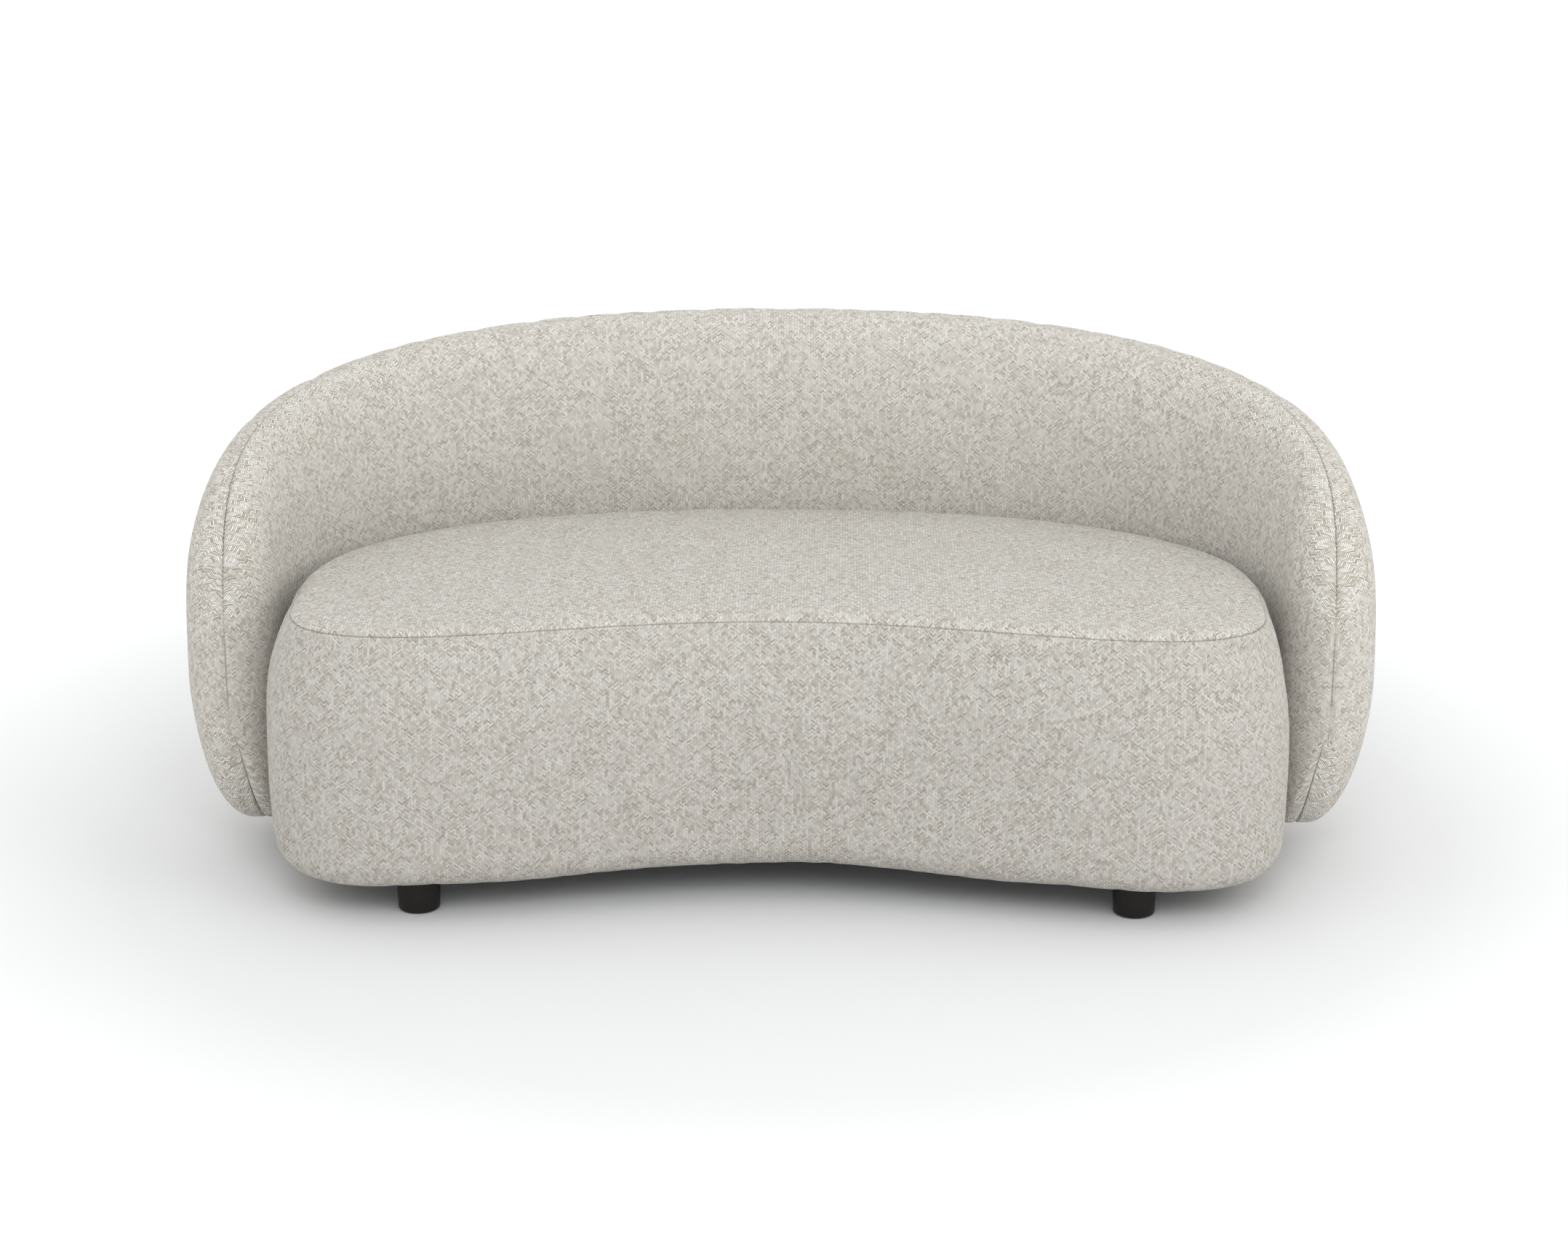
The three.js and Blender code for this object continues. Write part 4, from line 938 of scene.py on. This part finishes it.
# %% Pads of the back
INNER_FOAM, OUTER_FOAM = 0.038, 0.018
WALL_STRIDE, WALL_SHARE, WALL_SETBACK = 13, 0.98, 0.024


def back_pad(name, numbers, depth, nodes):
    """One side of the back, closed on the frame's side by a wall of wide faces at the foam's depth."""
    rows, count = numbers.shape
    picks = np.unique(np.append(np.arange(0, rows, WALL_STRIDE), rows - 1))
    surface = back_points[numbers]
    opposite = back_points[(outer_numbers if numbers is inner_numbers else inner_numbers)]
    middle = (surface + opposite) / 2
    gap = np.linalg.norm(middle - surface, axis=-1, keepdims=True)
    wall = surface + (middle - surface) * np.minimum(1, depth / np.maximum(gap, 1e-6)) * WALL_SHARE
    crest, floor = surface[-1, :, 2], surface[0, :, 2]
    ease = 1 - WALL_SETBACK / (crest - floor)
    wall[..., 2] = (crest + floor) / 2 + (wall[..., 2] - (crest + floor) / 2) * ease
    wall = wall[picks][:, 1:-1]
    extra = len(back_points) + np.arange(wall.shape[0] * wall.shape[1]).reshape(wall.shape[:2])
    points = np.concatenate([back_points, wall.reshape(-1, 3)])
    facing = numbers[:, ::-1] if numbers is inner_numbers else numbers
    hidden = extra if numbers is inner_numbers else extra[:, ::-1]
    faces = without_repeats(quads_between(facing, False))
    faces += without_repeats(quads_between(hidden, False))
    for row, surface_row in ((0, 0), (-1, rows - 1)):
        edge = np.stack([numbers[surface_row, 1:-1], extra[row]])
        turn = (row == 0) == (numbers is inner_numbers)
        faces += without_repeats(quads_between(edge if turn else edge[::-1], False))
    for end, near in ((0, 0), (-1, -1)):
        turn = (end == 0) == (numbers is inner_numbers)
        line, column = numbers[:, end], extra[:, near]
        spans = enumerate(zip(picks, picks[1:]))
        chains = [[*line[a:b + 1], column[i + 1], column[i]] for i, (a, b) in spans]
        chains.append([line[-1], numbers[-1, 1 if end == 0 else -2], column[-1]])
        chains.append([numbers[0, 1 if end == 0 else -2], line[0], column[0]])
        faces += [[int(n) for n in (chain[::-1] if turn else chain)] for chain in chains]
    flat = np.zeros((len(points), 2))
    middle_row = surface[rows // 2]
    flat[numbers, 0] = lengths_along(middle_row)
    flat[numbers, 1] = (inner_rise if numbers is inner_numbers else outer_rise).T
    flat[extra] = flat[numbers[picks][:, 1:-1]]
    pad = make_object(name, *only_used(points, faces, flat))
    return finish_pad(pad, nodes, CLOTH)


back_pad("back_inner_pad", inner_numbers, INNER_FOAM, ["back_inner_cover", "back_inner_foam"])
back_pad("back_outer_pad", outer_numbers, OUTER_FOAM, ["back_outer_cover", "back_outer_foam"])

# %% [markdown]
# ## Thread and staples
# Thread lies in every seam, and staples hold the black lining under the seat. Both are one small shape
# repeated along a path, which is what Geometry Nodes do well: the path is measured into equal steps, and
# on each step stands a copy, turned along the path. The copies are made real at the end, and the result
# becomes a plain mesh.

# %% A tree that repeats a shape along a path
def shape_of_stitch(wire, size):
    """A short thread that dips into the cloth at both ends: a stretched ball."""
    ball = wire.node("GeometryNodeMeshUVSphere", None, {"Segments": 6, "Rings": 4, "Radius": 0.5})
    return ball.node("GeometryNodeTransform", None, {"Geometry": ball, "Scale": size})


def shape_of_staple(wire, size):
    """The flat crown of a staple: a thin bar with softened ends."""
    bar = wire.node("GeometryNodeMeshCube", None, {"Size": size, "Vertices X": 5})
    return bar.node("GeometryNodeTransform", None, {"Geometry": bar})


TREE_INPUTS = {"Path": "Geometry", "Spacing": "Float", "Piece size": "Vector", "Unevenness": "Float",
               "Seed": "Int"}


def repeat_tree(name, shape, material):
    """A tree that puts copies of a shape along a path, at even steps and a little uneven in size."""
    tree = bpy.data.node_groups.new(name, "GeometryNodeTree")
    for label, kind in TREE_INPUTS.items():
        tree.interface.new_socket(label, in_out="INPUT", socket_type="NodeSocket" + kind)
    tree.interface.new_socket("Pieces", in_out="OUTPUT", socket_type="NodeSocketGeometry")
    given = Wire(tree).node("NodeGroupInput")
    curve = given.node("GeometryNodeMeshToCurve", None, {"Mesh": given.out("Path")})
    steps = given.node("GeometryNodeResampleCurve", {"mode": "LENGTH"},
                       {"Curve": curve, "Length": given.out("Spacing")})
    along = given.node("GeometryNodeInputTangent")
    spin = given.node("FunctionNodeAlignRotationToVector", {"axis": "X"}, {"Vector": along})
    wobble = given.node("FunctionNodeRandomValue", {"data_type": "FLOAT"},
                        {2: 1 - given.out("Unevenness"), 3: 1 + given.out("Unevenness"),
                         "Seed": given.out("Seed")}, output=1)
    piece = shape(given, given.out("Piece size"))
    copies = given.node("GeometryNodeInstanceOnPoints", None,
                        {"Points": steps, "Instance": piece, "Rotation": spin, "Scale": wobble})
    real = given.node("GeometryNodeRealizeInstances", None, {"Geometry": copies})
    coloured = given.node("GeometryNodeSetMaterial", None, {"Geometry": real, "Material": material})
    given.node("NodeGroupOutput", None, {"Pieces": coloured})
    return tree


def repeated_along(name, line, closed, tree, spacing, size, unevenness, seed):
    """A plain mesh of copies along a line of points, made by the tree."""
    edges = [(n, n + 1) for n in range(len(line) - 1)] + ([(len(line) - 1, 0)] if closed else [])
    mesh = bpy.data.meshes.new(name)
    mesh.from_pydata(np.asarray(line).tolist(), edges, [])
    path = bpy.data.objects.new(name + "_path", mesh)
    bpy.context.scene.collection.objects.link(path)
    modifier = path.modifiers.new("repeat", "NODES")
    modifier.node_group = tree
    values = {"Spacing": spacing, "Piece size": size, "Unevenness": unevenness, "Seed": seed}
    for item in tree.interface.items_tree:
        if item.in_out == "INPUT" and item.name in values:
            modifier[item.identifier] = values[item.name]
    shown = path.evaluated_get(bpy.context.evaluated_depsgraph_get())
    made = bpy.data.objects.new(name, bpy.data.meshes.new_from_object(shown))
    bpy.data.objects.remove(path)
    bpy.context.scene.collection.objects.link(made)
    made.data.shade_smooth()
    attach(made, "root")
    print(name, "faces", len(made.data.polygons))
    return made


# %% Finishes of thread and steel
def steel_material():
    """Zinc-plated steel: fine rolled scratches and a faint bluish cloud."""
    material, shader, start = new_material("zinc_plated_steel")
    where = start.node("ShaderNodeTexCoord").out("Object")
    stretched = start.node("ShaderNodeMapping", None, {"Vector": where, "Scale": (40, 700, 700)})
    scratches = grain(start, stretched, 1.0, 4.0, 0.7)
    clouds = grain(start, where, 35.0, 3.0)
    feed(shader, "Base Color", blend(colour(164, 168, 174), colour(200, 202, 204), clouds))
    feed(shader, "Roughness", 0.28 + 0.25 * scratches)
    feed(shader, "Metallic", 0.92 + 0.08 * clouds)
    raise_surface(shader, scratches, 0.0001)
    return material


THREAD = grained("seam_thread", ((168, 161, 149), (206, 201, 190)), (900.0, 2.0), (0.7, 0.2), (0.0002,))
STEEL = steel_material()

# %% Stitches in the seams, staples in the lining
STITCH = (0.0044, 0.0010, 0.0010)
STITCH_SPACING = 0.0062
STAPLE = (0.0105, 0.0011, 0.0009)
STAPLE_SPACING = 0.034
STAPLE_MARGIN = 0.006

stitching = repeat_tree("seam_stitches", shape_of_stitch, THREAD)
stapling = repeat_tree("lining_staples", shape_of_staple, STEEL)
seat_line = seat_points[ring_numbers[SEAM_ROW]]
repeated_along("seat_seam_thread", seat_line, True, stitching, STITCH_SPACING, STITCH, 0.12, 3)
back_ids = np.concatenate([inner_numbers[:, 0], inner_numbers[-1, 1:], inner_numbers[-2::-1, -1]])
repeated_along("back_seam_thread", back_points[back_ids], False, stitching, STITCH_SPACING, STITCH, 0.12, 4)
lining_low, lining_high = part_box("seat_dust_cloth")
lining_inset = SEAT_HALF_WIDTH - lining_high.x + STAPLE_MARGIN
staple_line = np.concatenate([seat_ring - seat_out * lining_inset + (0, WIDEST_LINE),
                              np.full((SEAT_COLUMNS, 1), lining_low.z - STAPLE[2] / 2)], axis=1)
staples = repeated_along("lining_staples", staple_line, True, stapling, STAPLE_SPACING, STAPLE, 0.05, 5)

# %% [markdown]
# ## Turned feet
# Each foot is a short turned cylinder of hardwood, sprayed satin black, a little narrower at the floor
# and with its edges broken. A turned part is a profile swept round an axis, so its mesh is one grid
# closed in the direction of the turn.

# %% Feet
FOOT_SIDES = 72
FOOT_TAPER = 0.0012
FOOT_EDGE = 0.0028


def foot_profile(top, low, high):
    """Radii and heights from the middle of the foot's top, down its side, to the middle below."""
    bottom = top - FOOT_TAPER
    turns = np.radians([0, 22, 45, 68, 90])
    edge = [(bottom - FOOT_EDGE * (1 - math.cos(t)), low + FOOT_EDGE * (1 - math.sin(t))) for t in turns]
    side = [(top, high - 0.0008), (top - 0.0002, high - 0.012), (top - 0.0004, high - 0.024)]
    return [(0.001, high), (top - 0.0008, high), *side, *edge, (0.024, low), (0.001, low)]


def add_foot(node):
    low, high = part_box(node)
    centre = (low + high) / 2
    profile = np.array(foot_profile((high.x - low.x) / 2, low.z, high.z))
    turns = np.linspace(0, 2 * math.pi, FOOT_SIDES, endpoint=False)
    x = centre.x + profile[:, :1] * np.cos(turns)
    y = centre.y + profile[:, :1] * np.sin(turns)
    z = np.repeat(profile[:, 1:], FOOT_SIDES, axis=1)
    points = np.stack([x, y, z], axis=-1).reshape(-1, 3)
    numbers = np.arange(len(points)).reshape(len(profile), FOOT_SIDES)
    faces = quads_between(numbers[::-1], True).tolist()
    faces += [numbers[0].tolist(), numbers[-1][::-1].tolist()]
    foot = make_object("turned_" + node, points, faces)
    foot.data.materials.append(FOOT_BLACK)
    foot.data.shade_smooth()
    foot.data.set_sharp_from_angle(angle=math.radians(40))
    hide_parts(node)
    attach(foot, "root")
    return foot


def rubbed(start, where, black, pores):
    """Near the floor the lacquer is a little rubbed."""
    height = start.node("ShaderNodeSeparateXYZ", None, {"Vector": where}).out("Z")
    worn = (1 - height / 0.005).math("MAXIMUM", 0.0) * grain(start, where, 220.0, 3.0)
    return blend(black, colour(62, 54, 46), worn * 0.6)


FOOT_BLACK = grained("satin_black_foot", ((19, 17, 16), (31, 28, 26)), (1.0, 3.0, 0.6), (0.30, 0.16),
                     (0.0003, 0.5), stretch=(260, 260, 30), coat=rubbed)
FOOT_BLACK.node_tree.nodes["Principled BSDF"].inputs["Specular IOR Level"].default_value = 0.22
feet = [add_foot("foot_" + place) for place in ("front_left", "front_right", "rear_left", "rear_right")]
print("feet", [foot.name for foot in feet])

# %% [markdown]
# ## Finishes inside the sofa
# The frame stays as it is, because its shapes are right, and only gets its finishes: birch plywood with
# its layers showing on every cut edge, brown fibreboard, woven webbing, black lining, plated steel and
# felt. All of these patterns stand still in the sofa's own space.

# %% Wood finishes
VENEER = 0.0014


def veneered(start, where, wood, figure):
    """Plywood shows its layers across the height, pale and darker in turn."""
    height = start.node("ShaderNodeSeparateXYZ", None, {"Vector": where}).out("Z")
    layer = (height / (2 * VENEER) + 0.1 * grain(start, where, 30.0)).math("FRACT")
    return blend(wood, colour(170, 132, 92), layer.math("GREATER_THAN", 0.5) * 0.45)


def specked(start, where, brown, fibres):
    """Fibreboard has darker specks among its short fibres."""
    specks = start.node("ShaderNodeTexVoronoi", None, {"Vector": where, "Scale": 260.0})
    return blend(brown, colour(84, 58, 38), (0.35 - specks).math("MAXIMUM", 0.0))


PLYWOOD = grained("birch_plywood", ((196, 164, 122), (226, 202, 164)), (1.0, 5.0, 0.65), (0.55, 0.25),
                  (0.0004, 0.6), stretch=(5, 90, 90), coat=veneered)
BOARD = grained("brown_fibreboard", ((116, 84, 56), (152, 116, 82)), (420.0, 5.0, 0.75), (0.6, 0.25),
                (0.0003, 0.7), coat=specked)


# %% Textile finishes
def webbing_material():
    """Elastic webbing: a tight plain weave in black, with a paler fuzz over it."""
    material, shader, start = new_material("elastic_webbing")
    where = start.node("ShaderNodeTexCoord").out("Object")
    axes = start.node("ShaderNodeSeparateXYZ", None, {"Vector": where})
    warp = (axes.out("X") * (math.pi / 0.0021)).math("SINE")
    weft = (axes.out("Y") * (math.pi / 0.0021)).math("SINE")
    weave = warp * weft * 0.5 + 0.5
    fuzz = grain(start, where, 700.0, 3.0, 0.7)
    dark = blend(colour(48, 44, 40), colour(86, 80, 72), weave)
    feed(shader, "Base Color", blend(dark, colour(120, 112, 98), fuzz * 0.3))
    feed(shader, "Roughness", 0.7 + 0.2 * fuzz)
    raise_surface(shader, weave, 0.0006, 0.8)
    return material


def lining_material():
    """Black spun lining: a film of fibres with a grid of small welded dots."""
    material, shader, start = new_material("black_lining")
    where = start.node("ShaderNodeTexCoord").out("Object")
    dots = start.node("ShaderNodeTexVoronoi", None, {"Vector": where, "Scale": 420.0, "Randomness": 0.25})
    fibres = grain(start, where, 800.0, 4.0, 0.7)
    feed(shader, "Base Color", blend(colour(24, 24, 25), colour(52, 52, 54), fibres))
    feed(shader, "Roughness", 0.75 + 0.2 * fibres)
    raise_surface(shader, dots * 0.7 + fibres * 0.3, 0.0003, 0.8)
    return material


FELT = grained("wool_felt", ((74, 68, 62), (128, 120, 110)), (900.0, 5.0, 0.8), (0.85, 0.12), (0.0006, 0.9))
FELT.node_tree.nodes["Principled BSDF"].inputs["Sheen Weight"].default_value = 0.3


# %% Giving the frame its finishes
FRAME_FINISHES = {
    "plywood": PLYWOOD, "board": BOARD, "webbing": webbing_material(),
    "dust_cloth": lining_material(), "steel": STEEL, "felt": FELT,
    "cloth": CLOTH, "foam": CLOTH, "black_foot": FOOT_BLACK,
}


def finish_frame():
    """Each node keeps its mesh and gets the finish that its packed material is named for."""
    given = {}
    for name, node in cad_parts.items():
        packed = node.data.materials[0].name.split(".")[0]
        node.data.materials.clear()
        node.data.materials.append(FRAME_FINISHES[packed])
        given[packed] = given.get(packed, 0) + 1
    return given


print("frame finishes", finish_frame())

# %% [markdown]
# ## Light and floor
# The photograph has soft light from above, a little stronger from the right, and a floor so pale that only
# the shade close to the sofa shows. A white world gives the even light, and three wide lamps give its
# direction. Near the sofa the floor's tone is darker: that is painted shadow, again chosen to match the
# photograph. The plain display transform keeps white as white.

# %% Studio
FLOOR_HALF = 40.0
SHADE_REACH, SHADE_FADE = 1.0, 0.8
WORLD_LIGHT = 1.06
LAMPS = {
    "lamp_right": ((3.4, -2.6, 2.2), 2.4, 32, (1.0, 1.0, 1.0)),
    "lamp_above": ((-0.3, 0.5, 4.0), 2.6, 12, (0.84, 0.94, 1.0)),
    "lamp_front": ((0.3, -4.0, 3.2), 2.4, 54, (0.90, 0.96, 1.0)),
}


def add_floor():
    half = FLOOR_HALF
    corners = [(-half, -half, 0), (half, -half, 0), (half, half, 0), (-half, half, 0)]
    floor = make_object("floor", corners, [[0, 1, 2, 3]])
    material, shader, start = new_material("studio_floor")
    where = start.node("ShaderNodeTexCoord").out("Object")
    distance = start.node("ShaderNodeVectorMath", {"operation": "LENGTH"}, {0: where}, output=1)
    outer = ((distance - SHADE_REACH) / SHADE_FADE).math("MAXIMUM", 0.0).math("MINIMUM", 1.0)
    # Painted shadow: the floor is darker within a metre of the sofa's middle and fades to pale over the next
    # 0.8 m.
    near = blend(colour(219, 219, 219), colour(221, 221, 221), grain(start, where, 3.0))
    feed(shader, "Base Color", blend(near, colour(251, 251, 251), outer))
    feed(shader, "Roughness", 0.6 + 0.1 * grain(start, where, 40.0))
    floor.data.materials.append(material)


def add_lamp(name, place, size, power, tint):
    lamp = bpy.data.lights.new(name, "AREA")
    lamp.shape, lamp.size, lamp.energy, lamp.color = "DISK", size, power, tint
    thing = bpy.data.objects.new(name, lamp)
    thing.location = place
    aim = Vector((0, 0, 0.3)) - Vector(place)
    thing.rotation_euler = aim.to_track_quat("-Z", "Y").to_euler()
    bpy.context.scene.collection.objects.link(thing)


def add_studio():
    world = bpy.data.worlds.new("studio")
    bpy.context.scene.world = world
    world.use_nodes = True
    sky = next(n for n in world.node_tree.nodes if n.type == "BACKGROUND")
    sky.inputs["Color"].default_value = (1, 1, 1, 1)
    sky.inputs["Strength"].default_value = WORLD_LIGHT
    for name, values in LAMPS.items():
        add_lamp(name, *values)
    bpy.context.scene.view_settings.view_transform = "Standard"


add_floor()
add_studio()
